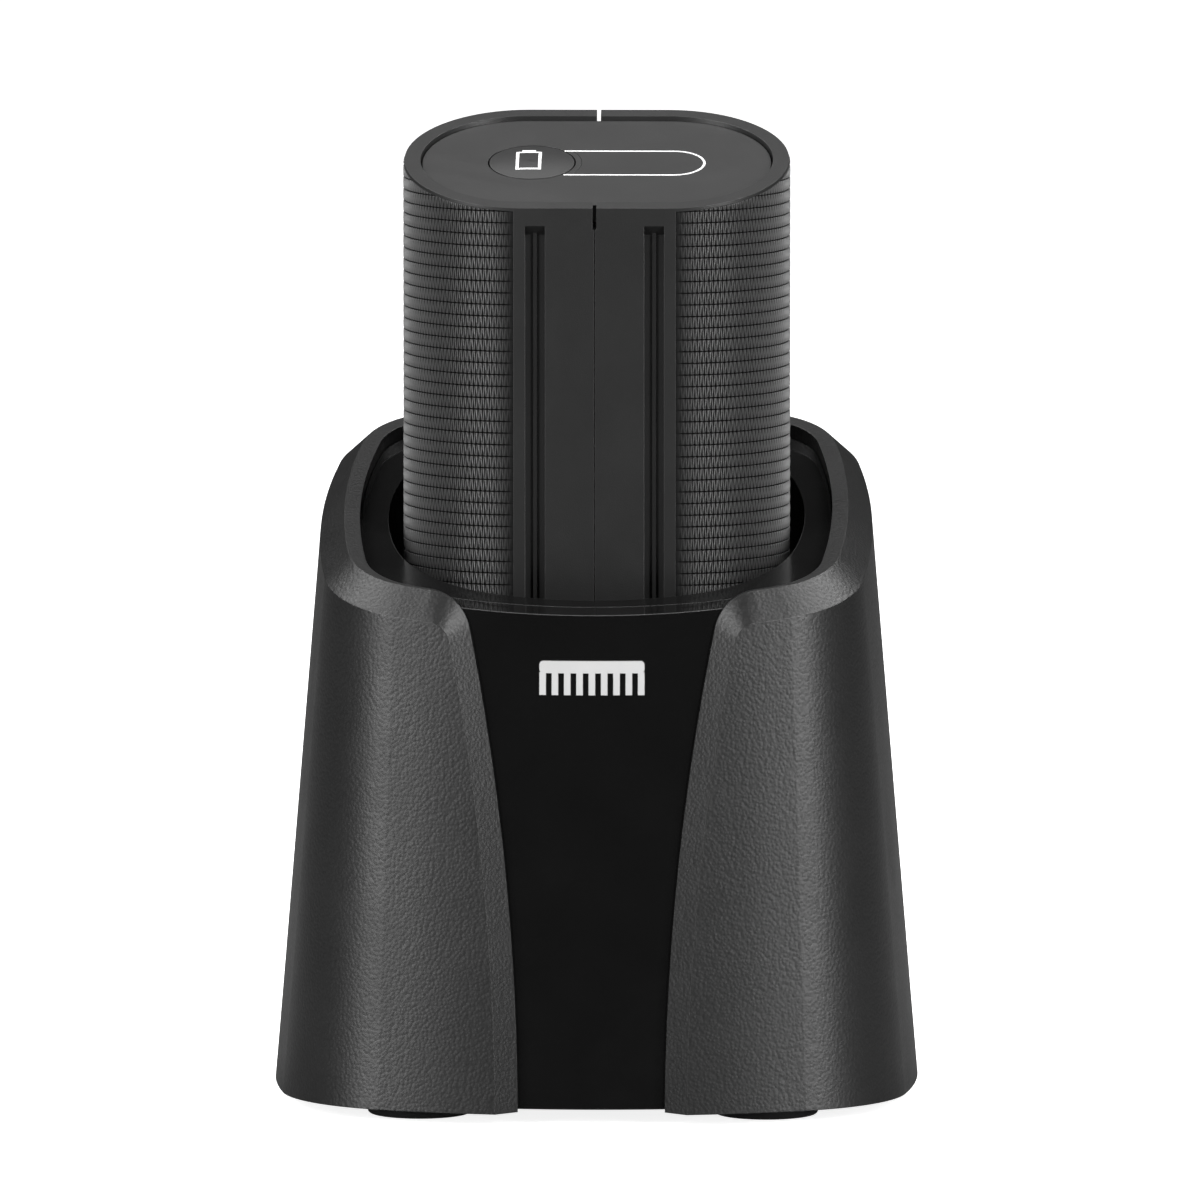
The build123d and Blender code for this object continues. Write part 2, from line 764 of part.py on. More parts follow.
# ---------------------------------------------------------------- battery pack: the two shell halves
# An obround tube with a bottom, split down the middle. Each half takes a grip round its end, and the
# front strip has two grooves that run on the seat's ribs.
top_plane = slanted(pack_height)
cap_bottom_plane = slanted(pack_height, drop=cap_recess + cap_thickness)
pack_top_limit = pack_height + rise * pack_depth
pack_block = obround_block(0, pack_bottom, pack_top_limit)
pack_inner = obround_block(pack_wall, pack_bottom + pack_bottom_wall, pack_top_limit)
cap_space = obround_block(pack_rim, pack_bottom + pack_bottom_wall, pack_top_limit)
grip_core = obround_block(grip_thickness, pack_bottom - 1.0, pack_top_limit)
tongue_top = pack_height - tongue_drop
tongue_outer = obround_block(pack_wall - tongue_wall, pack_bottom + pack_bottom_wall, tongue_top)
groove_end = pack_height - rise * pack_depth / 2 - groove_top
front_face = -pack_depth / 2

with BuildPart() as cap_room:
    add(cap_space)
    split(bisect_by=cap_bottom_plane, keep=Keep.TOP)

with BuildPart() as grip_zone:
    add(pack_block)
    add(grip_core, mode=Mode.SUBTRACT)
    split(bisect_by=slanted(pack_height, drop=grip_top), keep=Keep.BOTTOM)
    split(bisect_by=Plane.XY.offset(pack_bottom + grip_bottom), keep=Keep.TOP)
    Box(2 * strip_half, 2 * pack_depth, 3 * pack_height, mode=Mode.SUBTRACT)

with BuildPart() as groove_cut:
    with BuildSketch(Plane.XY.offset(pack_bottom - 1.0)):
        with Locations((0, front_face)):
            with GridLocations(groove_spacing, 0, 2, 1):
                Rectangle(groove_width, 2 * groove_depth)
        with Locations((0, front_face + groove_depth)):
            with GridLocations(groove_spacing, 0, 2, 1):
                Rectangle(groove_ridge, groove_ridge, mode=Mode.SUBTRACT)
    extrude(amount=groove_end - pack_bottom + 1.0)
    split(bisect_by=Plane(origin=(0, front_face, groove_end), z_dir=(0, 1, 1)), keep=Keep.BOTTOM)

with BuildPart() as pack_body:
    add(pack_block)
    split(bisect_by=top_plane, keep=Keep.BOTTOM)
    chamfer(pack_body.edges().group_by(Axis.Z)[0], length=pack_foot_bevel)
    add(pack_inner, mode=Mode.SUBTRACT)
    add(cap_room.part, mode=Mode.SUBTRACT)
    add(grip_zone.part, mode=Mode.SUBTRACT)
    add(groove_cut.part, mode=Mode.SUBTRACT)
    with Locations((0, 0, pack_bottom)):
        with GridLocations(contact_spacing, 0, 2, 1):
            Cylinder(pad_diameter / 2 + screw_clearance, 3 * pack_bottom_wall, mode=Mode.SUBTRACT)
    with BuildSketch(top_plane):
        Rectangle(slit_width, 2 * pack_depth)
    extrude(amount=-slit_depth, mode=Mode.SUBTRACT)

with BuildPart() as tongue:
    add(tongue_outer)
    add(pack_inner, mode=Mode.SUBTRACT)
    with Locations((0, 0, pack_height / 2)):
        Box(2 * tongue_reach, 2 * pack_depth, 2 * pack_height, mode=Mode.INTERSECT)

with BuildPart() as tongue_room:
    add(obround_block(pack_wall - tongue_wall - seam_gap, pack_bottom, tongue_top + 4 * seam_gap))
    with Locations((0, 0, pack_height / 2)):
        Box(2 * tongue_reach + 4 * seam_gap, 2 * pack_depth, 2 * pack_height, mode=Mode.INTERSECT)
    add(pack_inner, mode=Mode.SUBTRACT)
    split(bisect_by=Plane.XY.offset(pack_bottom + pack_bottom_wall), keep=Keep.TOP)

with BuildPart() as pack_shell_left:
    add(pack_body.part)
    split(bisect_by=Plane.YZ.offset(-seam_gap), keep=Keep.BOTTOM)
    add(tongue.part)
save(pack_shell_left, "pack_shell_left")

with BuildPart() as pack_shell_right:
    add(pack_body.part)
    split(bisect_by=Plane.YZ.offset(seam_gap), keep=Keep.TOP)
    add(tongue_room.part, mode=Mode.SUBTRACT)
save(pack_shell_right, "pack_shell_right")

for side_name, keep in (("left", Keep.BOTTOM), ("right", Keep.TOP)):
    with BuildPart() as grip:
        add(grip_zone.part)
        split(bisect_by=Plane.YZ, keep=keep)
    save(grip, f"grip_{side_name}")

# ---------------------------------------------------------------- end cap, button and gauge
cap_plane = slanted(pack_height, drop=cap_recess)
under_cap = slanted(pack_height, drop=cap_recess + cap_thickness)
cap_blank = obround_block(pack_rim + cap_gap, pack_bottom, pack_top_limit)


def gauge_outline(shrink):
    """The gauge window, seen square to the cap: a round-ended bar that stops short of the button."""
    with BuildSketch() as outline:
        with Locations(((button_x + gauge_end) / 2, 0)):
            SlotOverall(gauge_end - button_x - 2 * shrink, 2 * (gauge_half - shrink))
        with Locations((button_x, 0)):
            Circle(button_flange / 2 + shrink, mode=Mode.SUBTRACT)
    return outline.sketch


lamp_middle = (button_x + button_flange / 2 + gauge_end) / 2
with BuildPart() as end_cap:
    add(cap_blank)
    split(bisect_by=cap_plane, keep=Keep.BOTTOM)
    split(bisect_by=under_cap, keep=Keep.TOP)
    with BuildSketch(cap_plane):
        with Locations((button_x, 0)):
            Circle(button_diameter / 2 + button_gap)
    extrude(amount=-2 * cap_thickness, mode=Mode.SUBTRACT)
    with BuildSketch(cap_plane):
        add(gauge_outline(0))
    extrude(amount=-gauge_thickness, mode=Mode.SUBTRACT)
    with BuildSketch(cap_plane):
        with Locations((lamp_middle, 0)):
            with GridLocations(lamp_pitch, 0, lamp_count, 1):
                Circle(lamp_hole / 2)
    extrude(amount=-2 * cap_thickness, mode=Mode.SUBTRACT)
    with BuildSketch(under_cap):
        with GridLocations(gauge_post_spacing, 0, 2, 1):
            Circle(gauge_post_diameter / 2)
    extrude(amount=-gauge_board_drop)
    with BuildSketch(under_cap):
        with GridLocations(gauge_post_spacing, 0, 2, 1):
            Circle((gauge_screw_diameter + screw_clearance) / 2)
    extrude(amount=-gauge_board_drop, mode=Mode.SUBTRACT)
save(end_cap, "end_cap")

with BuildPart() as gauge_window:
    with BuildSketch(cap_plane):
        add(gauge_outline(window_gap))
    extrude(amount=-gauge_thickness)
save(gauge_window, "gauge_window")

crown_radius = ((button_diameter / 2) ** 2 + button_crown**2) / (2 * button_crown)
crown_drop = cap_recess - button_crown
stem_drop = gauge_board_drop - switch_height - button_travel - stem_gap
with BuildPart() as charge_button:
    with BuildSketch(slanted(pack_height, drop=crown_drop)):
        with Locations((button_x, 0)):
            Circle(button_diameter / 2)
    extrude(amount=-button_crown - cap_thickness - button_flange_thickness / 2)
    with Locations(slanted(pack_height, drop=crown_drop + crown_radius)):
        with Locations((button_x, 0)):
            Sphere(crown_radius, mode=Mode.INTERSECT)
    with BuildSketch(slanted(pack_height, drop=cap_recess + cap_thickness + flange_gap)):
        with Locations((button_x, 0)):
            Circle(button_flange / 2)
    extrude(amount=-button_flange_thickness)
    with BuildSketch(under_cap):
        with Locations((button_x, 0)):
            Circle(stem_diameter / 2)
    extrude(amount=-stem_drop)
save(charge_button, "charge_button")

board_drop = cap_recess + cap_thickness + gauge_board_drop
board_plane = slanted(pack_height, drop=board_drop)
under_board = slanted(pack_height, drop=board_drop + gauge_board_thickness)
with BuildPart() as gauge_board:
    with BuildSketch(board_plane):
        RectangleRounded(gauge_board_width, gauge_board_depth, corner_round)
        with GridLocations(gauge_post_spacing, 0, 2, 1):
            Circle(gauge_screw_diameter / 2 + screw_clearance, mode=Mode.SUBTRACT)
    extrude(amount=-gauge_board_thickness)
save(gauge_board, "gauge_board")

with BuildPart() as gauge_screws:
    with BuildSketch(under_board):
        with GridLocations(gauge_post_spacing, 0, 2, 1):
            Circle(gauge_screw_head / 2)
    extrude(amount=-gauge_screw_head_height)
    with BuildSketch(under_board):
        with GridLocations(gauge_post_spacing, 0, 2, 1):
            Circle(gauge_screw_diameter / 2)
    extrude(amount=gauge_board_drop + gauge_board_thickness - 2 * screw_clearance)
save(gauge_screws, "gauge_screws")

with BuildPart() as gauge_lamps:
    with BuildSketch(board_plane):
        with Locations((lamp_middle, 0)):
            with GridLocations(lamp_pitch, 0, lamp_count, 1):
                Rectangle(lamp_width, lamp_depth)
    extrude(amount=lamp_height)
save(gauge_lamps, "gauge_lamps")

with BuildPart() as button_switch:
    with BuildSketch(board_plane):
        with Locations((button_x, 0)):
            Rectangle(switch_width, switch_width)
    extrude(amount=switch_body)
    with BuildSketch(board_plane):
        with Locations((button_x, 0)):
            Circle(switch_plunger / 2)
    extrude(amount=switch_height)
save(button_switch, "button_switch")

# ---------------------------------------------------------------- cells and what holds them
cell_top = cell_bottom + cell_length
cell_x = cell_spacing / 2
for side_name, side in (("left", -1), ("right", 1)):
    with BuildPart() as cell:
        with Locations((side * cell_x, 0, cell_bottom + (cell_nub if side > 0 else 0))):
            Cylinder(cell_diameter / 2, cell_length - cell_nub, align=standing)
        fillet(cell.edges(), radius=cell_edge)
        with Locations((side * cell_x, 0, cell_bottom if side > 0 else cell_top)):
            Cylinder(cell_nub_diameter / 2, 2 * cell_nub, align=standing if side > 0 else hanging)
    save(cell, f"cell_{side_name}")

strip_y = pack_depth / 2 - pack_wall - strip_inset
carrier_inset = pack_wall + carrier_gap
carrier_outline = obround(pack_width - 2 * carrier_inset, pack_depth - 2 * carrier_inset)


def cell_carrier(end_face, outwards):
    """A plate with two round sockets: its cells end at end_face, and it closes them off outwards."""
    with BuildPart() as carrier:
        with BuildSketch(Plane.XY.offset(end_face)):
            add(carrier_outline)
            with GridLocations(contact_spacing, 0, 2, 1):
                with Locations((0, strip_y)):
                    Rectangle(strip_width + 2 * link_thickness, 4 * link_thickness, mode=Mode.SUBTRACT)
        extrude(amount=outwards * carrier_plate)
        extrude(carrier.faces().sort_by(Axis.Z)[0 if outwards > 0 else -1], amount=carrier_rim)
        with BuildSketch(Plane.XY.offset(end_face)):
            with GridLocations(cell_spacing, 0, 2, 1):
                Circle(cell_diameter / 2 + socket_gap)
        extrude(amount=-outwards * carrier_rim, mode=Mode.SUBTRACT)
        with BuildSketch(Plane.XY.offset(end_face)):
            Rectangle(cell_spacing + 2 * (link_end + link_clearance), link_width + 2 * link_clearance)
        extrude(amount=outwards * link_thickness, mode=Mode.SUBTRACT)
        with BuildSketch(Plane.XY.offset(end_face)):
            with GridLocations(cell_spacing, 0, 2, 1):
                Circle(carrier_hole / 2)
        extrude(amount=outwards * carrier_plate, mode=Mode.SUBTRACT)
    return carrier


save(cell_carrier(cell_bottom, -1), "cell_carrier_bottom")
save(cell_carrier(cell_top, 1), "cell_carrier_top")

with BuildPart() as bottom_link:
    with BuildSketch(Plane.XY.offset(cell_bottom)):
        Rectangle(cell_spacing + 2 * link_end, link_width)
    extrude(amount=-link_thickness)
save(bottom_link, "bottom_link")

with BuildPart() as top_links:
    with BuildSketch(Plane.XY.offset(cell_top)):
        with GridLocations(cell_spacing, 0, 2, 1):
            Rectangle(2 * link_end, link_width)
    extrude(amount=link_thickness)
save(top_links, "top_links")

carrier_top = cell_top + carrier_plate
with BuildPart() as cell_pad:
    with BuildSketch(Plane.XY.offset(carrier_top)):
        RectangleRounded(foam_width, foam_depth, corner_round / 2)
    extrude(amount=foam_thickness)
save(cell_pad, "cell_pad")

protection_height = carrier_top + foam_thickness
tab_depth = strip_y - protection_depth / 4
with BuildPart() as protection_board:
    with BuildSketch(Plane.XY.offset(protection_height)):
        RectangleRounded(protection_width, protection_depth, corner_round)
        with Locations((0, strip_y - tab_depth / 2 + 2 * link_thickness)):
            with GridLocations(contact_spacing, 0, 2, 1):
                Rectangle(strip_width + 1.0, tab_depth)
    extrude(amount=protection_thickness)
save(protection_board, "protection_board")

sensor_width = 4.0
sensor_depth = 3.0
sensor_height = 1.1
sensor_shift = 3.0
resistor_width = 2.0
resistor_depth = 1.2
resistor_height = 0.8
resistor_pitch = 5.0
with BuildPart() as protection_parts:
    with Locations((0, 0, protection_height + protection_thickness)):
        with Locations((0, sensor_shift, 0)):
            with GridLocations(protection_width / 2, 0, 2, 1):
                Box(sensor_width, sensor_depth, sensor_height, align=standing)
        with GridLocations(resistor_pitch, 0, 3, 1):
            Box(resistor_width, resistor_depth, resistor_height, align=standing)
save(protection_parts, "protection_parts")

# Two pads in the bottom, each with a flat strip that runs up to the protection board.
pad_flange = pack_bottom + pack_bottom_wall
with BuildPart() as pack_contacts:
    with Locations((0, 0, pad_face)):
        with GridLocations(contact_spacing, 0, 2, 1):
            Cylinder(
                pad_diameter / 2, pad_flange - pad_face, align=standing
            )
    with Locations((0, 0, pad_flange)):
        with GridLocations(contact_spacing, 0, 2, 1):
            Cylinder(pad_diameter / 2 + pad_flange_width, pad_flange_thickness, align=standing)
save(pack_contacts, "pack_contacts")

with BuildPart() as bus_strips:
    with Locations((0, 0, pad_flange + pad_flange_thickness)):
        with GridLocations(contact_spacing, 0, 2, 1):
            Box(
                strip_width,
                strip_y + link_thickness / 2,
                link_thickness,
                align=(Align.CENTER, Align.MIN, Align.MIN),
            )
            with Locations((0, strip_y, 0)):
                Box(
                    strip_width,
                    link_thickness,
                    protection_height - pad_flange - pad_flange_thickness,
                    align=standing,
                )
save(bus_strips, "bus_strips")
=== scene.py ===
# %% [markdown]
# # A clipper's charging stand with its battery pack
#
# The shapes and the joints come from a imported model, which never moves or changes here. This lesson
# gives them their looks: a black pebble-grained shell, a glossy front panel and deck, a pack with
# knit-patterned grips, and white prints. First the model is loaded, with a helper that reads a piece's box.

# %% Load the model
import json
import math

import bmesh
import bpy
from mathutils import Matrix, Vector
from mathutils.bvhtree import BVHTree


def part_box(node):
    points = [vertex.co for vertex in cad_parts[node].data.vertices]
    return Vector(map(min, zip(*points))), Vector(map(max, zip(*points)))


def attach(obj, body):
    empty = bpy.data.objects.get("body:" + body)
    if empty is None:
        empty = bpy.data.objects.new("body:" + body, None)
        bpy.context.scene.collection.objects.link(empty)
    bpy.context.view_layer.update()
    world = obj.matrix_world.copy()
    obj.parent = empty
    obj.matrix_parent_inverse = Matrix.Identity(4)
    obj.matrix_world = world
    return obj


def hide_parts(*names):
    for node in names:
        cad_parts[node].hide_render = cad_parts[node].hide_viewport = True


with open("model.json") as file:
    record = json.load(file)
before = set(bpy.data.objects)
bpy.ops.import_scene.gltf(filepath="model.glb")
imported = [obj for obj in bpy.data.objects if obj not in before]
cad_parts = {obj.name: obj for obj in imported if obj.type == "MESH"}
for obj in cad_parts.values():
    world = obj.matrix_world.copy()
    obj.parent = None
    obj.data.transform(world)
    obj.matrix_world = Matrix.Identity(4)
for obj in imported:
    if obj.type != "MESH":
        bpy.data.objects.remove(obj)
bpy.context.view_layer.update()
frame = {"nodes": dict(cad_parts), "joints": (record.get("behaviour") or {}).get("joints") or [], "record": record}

MM = 0.001

# %% [markdown]
# ## Directions and places
#
# The rim and the pack's top share one slope. The check button moves square to it, so the button's
# joint axis gives that direction, and the boxes of a few pieces give the sizes used below.

# %% Directions and places
press = next(j for j in frame["joints"] if j["name"] == "charge_button_press")
top_normal = -Vector(press["axis"]).normalized()
up_slope = Vector((0, top_normal.z, -top_normal.y))
pack_low, pack_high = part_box("pack_shell_left")
pack_radius = (pack_high.y - pack_low.y) / 2
end_centre = pack_low.x + pack_radius
print("slope in degrees:", round(math.degrees(top_normal.angle(Vector((0, 0, 1)))), 1))
print("pack's end radius in mm:", round(pack_radius / MM, 2))

# %% [markdown]
# ## Camera
#
# A stand this small is looked at from a little above its rim. A long lens from far away keeps the two
# sides nearly parallel, as in a catalogue picture. The aim point is just above the deck's front edge.

# %% Camera
CAMERA_DISTANCE = 3.0
CAMERA_AZIMUTH = math.radians(1.1)
CAMERA_ELEVATION = math.radians(6.7)
AIM = Vector((0.0004, 0.0, 0.0612))
away = Vector((
    math.sin(CAMERA_AZIMUTH) * math.cos(CAMERA_ELEVATION),
    -math.cos(CAMERA_AZIMUTH) * math.cos(CAMERA_ELEVATION),
    math.sin(CAMERA_ELEVATION),
))
lens = bpy.data.cameras.new("camera")
lens.sensor_width = 36.0
lens.lens = 720.0
lens.clip_end = 20.0
camera = bpy.data.objects.new("camera", lens)
camera.location = AIM + away * CAMERA_DISTANCE
camera.rotation_euler = (-away).to_track_quat("-Z", "Y").to_euler()
bpy.context.collection.objects.link(camera)
bpy.context.scene.camera = camera
print("camera at", [round(v, 3) for v in camera.location])

# %% [markdown]
# ## Studio
#
# Black plastic shows its lights more than its own colour. Two tall softboxes, one at each side of the
# camera, draw the broad soft bands down the shell and the grips, and the sides between them and the
# floor stay dark. One box overhead, towards the back, lights the slopes. The floor is pale. The world
# is white where it is seen, and dim where it lights, so that the gloss stays black.

# %% Softboxes
TARGET = Vector((0, 0, 0.07))


def softbox(name, azimuth, elevation, distance, width, height, power):
    """A rectangular light that faces the target. Azimuth 0 is the camera's side, 90 is the right."""
    a = math.radians(azimuth)
    e = math.radians(elevation)
    place = Vector((math.sin(a) * math.cos(e), -math.cos(a) * math.cos(e), math.sin(e))) * distance
    data = bpy.data.lights.new(name, "AREA")
    data.shape = "RECTANGLE"
    data.size = width
    data.size_y = height
    data.energy = power
    box = bpy.data.objects.new(name, data)
    box.location = TARGET + place
    box.rotation_euler = (-place).to_track_quat("-Z", "Y").to_euler()
    bpy.context.collection.objects.link(box)


softbox("left_softbox", -52, 24, 1.2, 0.34, 1.3, 16.5)
softbox("right_softbox", 52, 24, 1.2, 0.34, 1.3, 18.0)
softbox("left_rim_softbox", -112, 56, 1.0, 0.5, 0.5, 5.5)
softbox("right_rim_softbox", 112, 56, 1.0, 0.5, 0.5, 6.5)
softbox("top_softbox", 180, 66, 0.6, 0.6, 0.3, 0.9)

# %% Floor and world
floor_mesh = bpy.data.meshes.new("floor")
FLOOR_HALF = 7.0
floor_mesh.from_pydata(
    [(x, y, 0.0) for x, y in ((-1, -1), (1, -1), (1, 1), (-1, 1))], [], [(0, 1, 2, 3)]
)
for corner in floor_mesh.vertices:
    corner.co *= FLOOR_HALF
floor = bpy.data.objects.new("floor", floor_mesh)
bpy.context.collection.objects.link(floor)

paper = bpy.data.materials.new("floor_paper")
paper.use_nodes = True
paper_shader = paper.node_tree.nodes["Principled BSDF"]
paper_shader.inputs["Roughness"].default_value = 0.9
paper_shader.inputs["Specular IOR Level"].default_value = 0.0
paper_shader.inputs["Emission Color"].default_value = (1, 1, 1, 1)
seen = paper.node_tree.nodes.new("ShaderNodeLightPath")
glow = paper.node_tree.nodes.new("ShaderNodeMapRange")
glow.inputs["To Min"].default_value = 0.02
glow.inputs["To Max"].default_value = 0.85
shade = paper.node_tree.nodes.new("ShaderNodeMapRange")
shade.inputs["To Min"].default_value = 0.2
shade.inputs["To Max"].default_value = 0.85
paper.node_tree.links.new(seen.outputs["Is Camera Ray"], glow.inputs["Value"])
paper.node_tree.links.new(seen.outputs["Is Camera Ray"], shade.inputs["Value"])
paper.node_tree.links.new(glow.outputs["Result"], paper_shader.inputs["Emission Strength"])
paper.node_tree.links.new(shade.outputs["Result"], paper_shader.inputs["Base Color"])
floor_mesh.materials.append(paper)

world = bpy.data.worlds.new("studio")
bpy.context.scene.world = world
world.use_nodes = True
air = world.node_tree
seen = air.nodes.new("ShaderNodeLightPath")
glow = air.nodes.new("ShaderNodeMapRange")
glow.inputs["To Min"].default_value = 0.02
glow.inputs["To Max"].default_value = 1.0
air.links.new(seen.outputs["Is Camera Ray"], glow.inputs["Value"])
air.links.new(glow.outputs["Result"], air.nodes["Background"].inputs["Strength"])
air.nodes["Background"].inputs["Color"].default_value = (1, 1, 1, 1)
bpy.context.scene.view_settings.view_transform = "Standard"
print("floor and world made")

# %% [markdown]
# ## Shader groups
#
# Most of these pieces are moulded plastic, so they share three effects. Each is a node group that is
# built once and placed in every material that needs it: the fine grain that a textured mould leaves,
# the softened edges that catch a thin line of light, which the materials also paint on as a highlight,
# and the faint marks of handling. A group puts out only heights, masks and normals. The shader itself
# stays in the material.

# %% Group helpers
def new_group(name, inputs, outputs):
    """An empty shader node group with named sockets. Returns the tree and its two end nodes."""
    tree = bpy.data.node_groups.new(name, "ShaderNodeTree")
    for label, kind, value in inputs:
        socket = tree.interface.new_socket(name=label, in_out="INPUT", socket_type=kind)
        if value is not None:
            socket.default_value = value
    for label, kind in outputs:
        tree.interface.new_socket(name=label, in_out="OUTPUT", socket_type=kind)
    return tree, tree.nodes.new("NodeGroupInput"), tree.nodes.new("NodeGroupOutput")


def put(tree, kind, links=None, **values):
    """A node with its properties and input values set. links names what feeds its inputs."""
    node = tree.nodes.new(kind)
    for label, value in values.items():
        if hasattr(node, label):
            setattr(node, label, value)
        else:
            node.inputs[label.replace("_", " ")].default_value = value
    for label, source in (links or {}).items():
        tree.links.new(source, node.inputs[label])
    return node


# %% [markdown]
# ### Grain
#
# A pebble grain is many small rounded bumps with finer noise on them. Smooth Voronoi cells give the
# bumps and a noise breaks them up. A second, wide noise gives the slow change of tone over a moulding.

# %% Grain group
grain, grain_in, grain_out = new_group(
    "mould_grain",
    [("Vector", "NodeSocketVector", None), ("Scale", "NodeSocketFloat", 2500.0),
     ("Pebble", "NodeSocketFloat", 0.5)],
    [("Height", "NodeSocketFloat"), ("Tone", "NodeSocketFloat")],
)
pebbles = put(grain, "ShaderNodeTexVoronoi", {"Vector": grain_in.outputs["Vector"],
              "Scale": grain_in.outputs["Scale"]}, feature="SMOOTH_F1", Smoothness=0.5)
speck = put(grain, "ShaderNodeTexNoise", {"Vector": grain_in.outputs["Vector"],
            "Scale": grain_in.outputs["Scale"]}, Detail=2.0, Roughness=0.6)
bump = put(grain, "ShaderNodeMath", {1: pebbles.outputs["Distance"]}, operation="SUBTRACT")
bump.inputs[0].default_value = 1.0
height = put(grain, "ShaderNodeMix", {"Factor": grain_in.outputs["Pebble"],
             "A": speck.outputs["Fac"], "B": bump.outputs["Value"]})
tone = put(grain, "ShaderNodeTexNoise", {"Vector": grain_in.outputs["Vector"]}, Scale=120.0, Detail=3.0)
grain.links.new(height.outputs["Result"], grain_out.inputs["Height"])
grain.links.new(tone.outputs["Fac"], grain_out.inputs["Tone"])
print("grain group nodes:", len(grain.nodes))

# %% [markdown]
# ### Soft edges
#
# No moulded edge is perfectly sharp. The Bevel node gives the normal that a small rounding would have,
# and where that differs from the face's own normal there is an edge, which the materials paint lighter
# as a painted highlight.

# %% Edge group
edges, edges_in, edges_out = new_group(
    "soft_edge",
    [("Radius", "NodeSocketFloat", 0.0002), ("Gain", "NodeSocketFloat", 3.0)],
    [("Normal", "NodeSocketVector"), ("Edge", "NodeSocketFloat")],
)
rounding = put(edges, "ShaderNodeBevel", {"Radius": edges_in.outputs["Radius"]}, samples=4)
face = put(edges, "ShaderNodeNewGeometry")
agree = put(edges, "ShaderNodeVectorMath", {0: rounding.outputs["Normal"], 1: face.outputs["Normal"]},
            operation="DOT_PRODUCT")
apart = put(edges, "ShaderNodeMath", operation="SUBTRACT")
apart.inputs[0].default_value = 1.0
edges.links.new(agree.outputs["Value"], apart.inputs[1])
# This mask marks where the materials paint a highlight on the edges.
edge_mask = put(edges, "ShaderNodeMath", {0: apart.outputs["Value"], 1: edges_in.outputs["Gain"]},
                operation="MULTIPLY", use_clamp=True)
edges.links.new(rounding.outputs["Normal"], edges_out.inputs["Normal"])
edges.links.new(edge_mask.outputs["Value"], edges_out.inputs["Edge"])
print("edge group nodes:", len(edges.nodes))

# %% [markdown]
# ### Handling
#
# Fingers and cloths leave faint, stretched smudges. They change the roughness a little and not the
# colour, so the group puts out one mask.

# %% Handling group
handling, handling_in, handling_out = new_group(
    "handling", [("Vector", "NodeSocketVector", None), ("Scale", "NodeSocketFloat", 60.0)],
    [("Smudge", "NodeSocketFloat")],
)
smear = put(handling, "ShaderNodeTexNoise", {"Vector": handling_in.outputs["Vector"],
            "Scale": handling_in.outputs["Scale"]}, Detail=5.0, Roughness=0.55, Distortion=1.5)
smudge = put(handling, "ShaderNodeMapRange", {"Value": smear.outputs["Fac"]},
             From_Min=0.45, From_Max=0.75)
handling.links.new(smudge.outputs["Result"], handling_out.inputs["Smudge"])
print("handling group nodes:", len(handling.nodes))

# %% [markdown]
# ## Moulded finishes
#
# One function makes every plastic and rubber finish from its own values: two tones, a grain with its
# size and depth, a roughness with its swing, the rounding of its edges and the paler colour painted on
# them as a highlight. Values that are the same all over are set on the shader itself.

# %% Moulded finish
def grey(value, warm=0.0):
    """A neutral colour, made slightly warmer or cooler."""
    return (value * (1 + warm), value, value * (1 - warm), 1)


def moulded(name, dark, light, rough, swing, grain_mm, relief_mm, pebble=0.5, edge_mm=0.15,
            edge_highlight=None, smudges=0.0, specular=0.5, sheen=0.0, coat=0.0):
    """Plastic or rubber with a moulded grain, soft edges with a painted highlight, and faint handling marks."""
    material = bpy.data.materials.new(name)
    material.use_nodes = True
    tree = material.node_tree
    shader = tree.nodes["Principled BSDF"]
    shader.inputs["Specular IOR Level"].default_value = specular
    shader.inputs["Sheen Weight"].default_value = sheen
    shader.inputs["Coat Weight"].default_value = coat
    shader.inputs["Coat Roughness"].default_value = 0.03
    where = put(tree, "ShaderNodeTexCoord").outputs["Object"]
    grains = put(tree, "ShaderNodeGroup", node_tree=grain)
    tree.links.new(where, grains.inputs["Vector"])
    grains.inputs["Scale"].default_value = 1.0 / (grain_mm * MM)
    grains.inputs["Pebble"].default_value = pebble
    rounded = put(tree, "ShaderNodeGroup", node_tree=edges)
    rounded.inputs["Radius"].default_value = edge_mm * MM
    marks = put(tree, "ShaderNodeGroup", node_tree=handling)
    tree.links.new(where, marks.inputs["Vector"])
    body = put(tree, "ShaderNodeMix", {"Factor": grains.outputs["Tone"]}, data_type="RGBA")
    body.inputs["A"].default_value = dark
    body.inputs["B"].default_value = light
    # Painted highlight: the colour turns paler along the edges, where the rounded normal parts from the face's
    # own.
    highlit_edges = put(tree, "ShaderNodeMix", {"Factor": rounded.outputs["Edge"],
               "A": body.outputs["Result"]}, data_type="RGBA")
    highlit_edges.inputs["B"].default_value = edge_highlight or light
    tree.links.new(highlit_edges.outputs["Result"], shader.inputs["Base Color"])
    dull = put(tree, "ShaderNodeMapRange", {"Value": grains.outputs["Height"]},
               To_Min=rough - swing, To_Max=rough + swing)
    duller = put(tree, "ShaderNodeMath", {0: marks.outputs["Smudge"], 2: dull.outputs["Result"]},
                 operation="MULTIPLY_ADD")
    duller.inputs[1].default_value = smudges
    tree.links.new(duller.outputs["Value"], shader.inputs["Roughness"])
    bumps = put(tree, "ShaderNodeBump", {"Height": grains.outputs["Height"],
                "Normal": rounded.outputs["Normal"]}, Strength=1.0, Distance=relief_mm * MM)
    tree.links.new(bumps.outputs["Normal"], shader.inputs["Normal"])
    return material
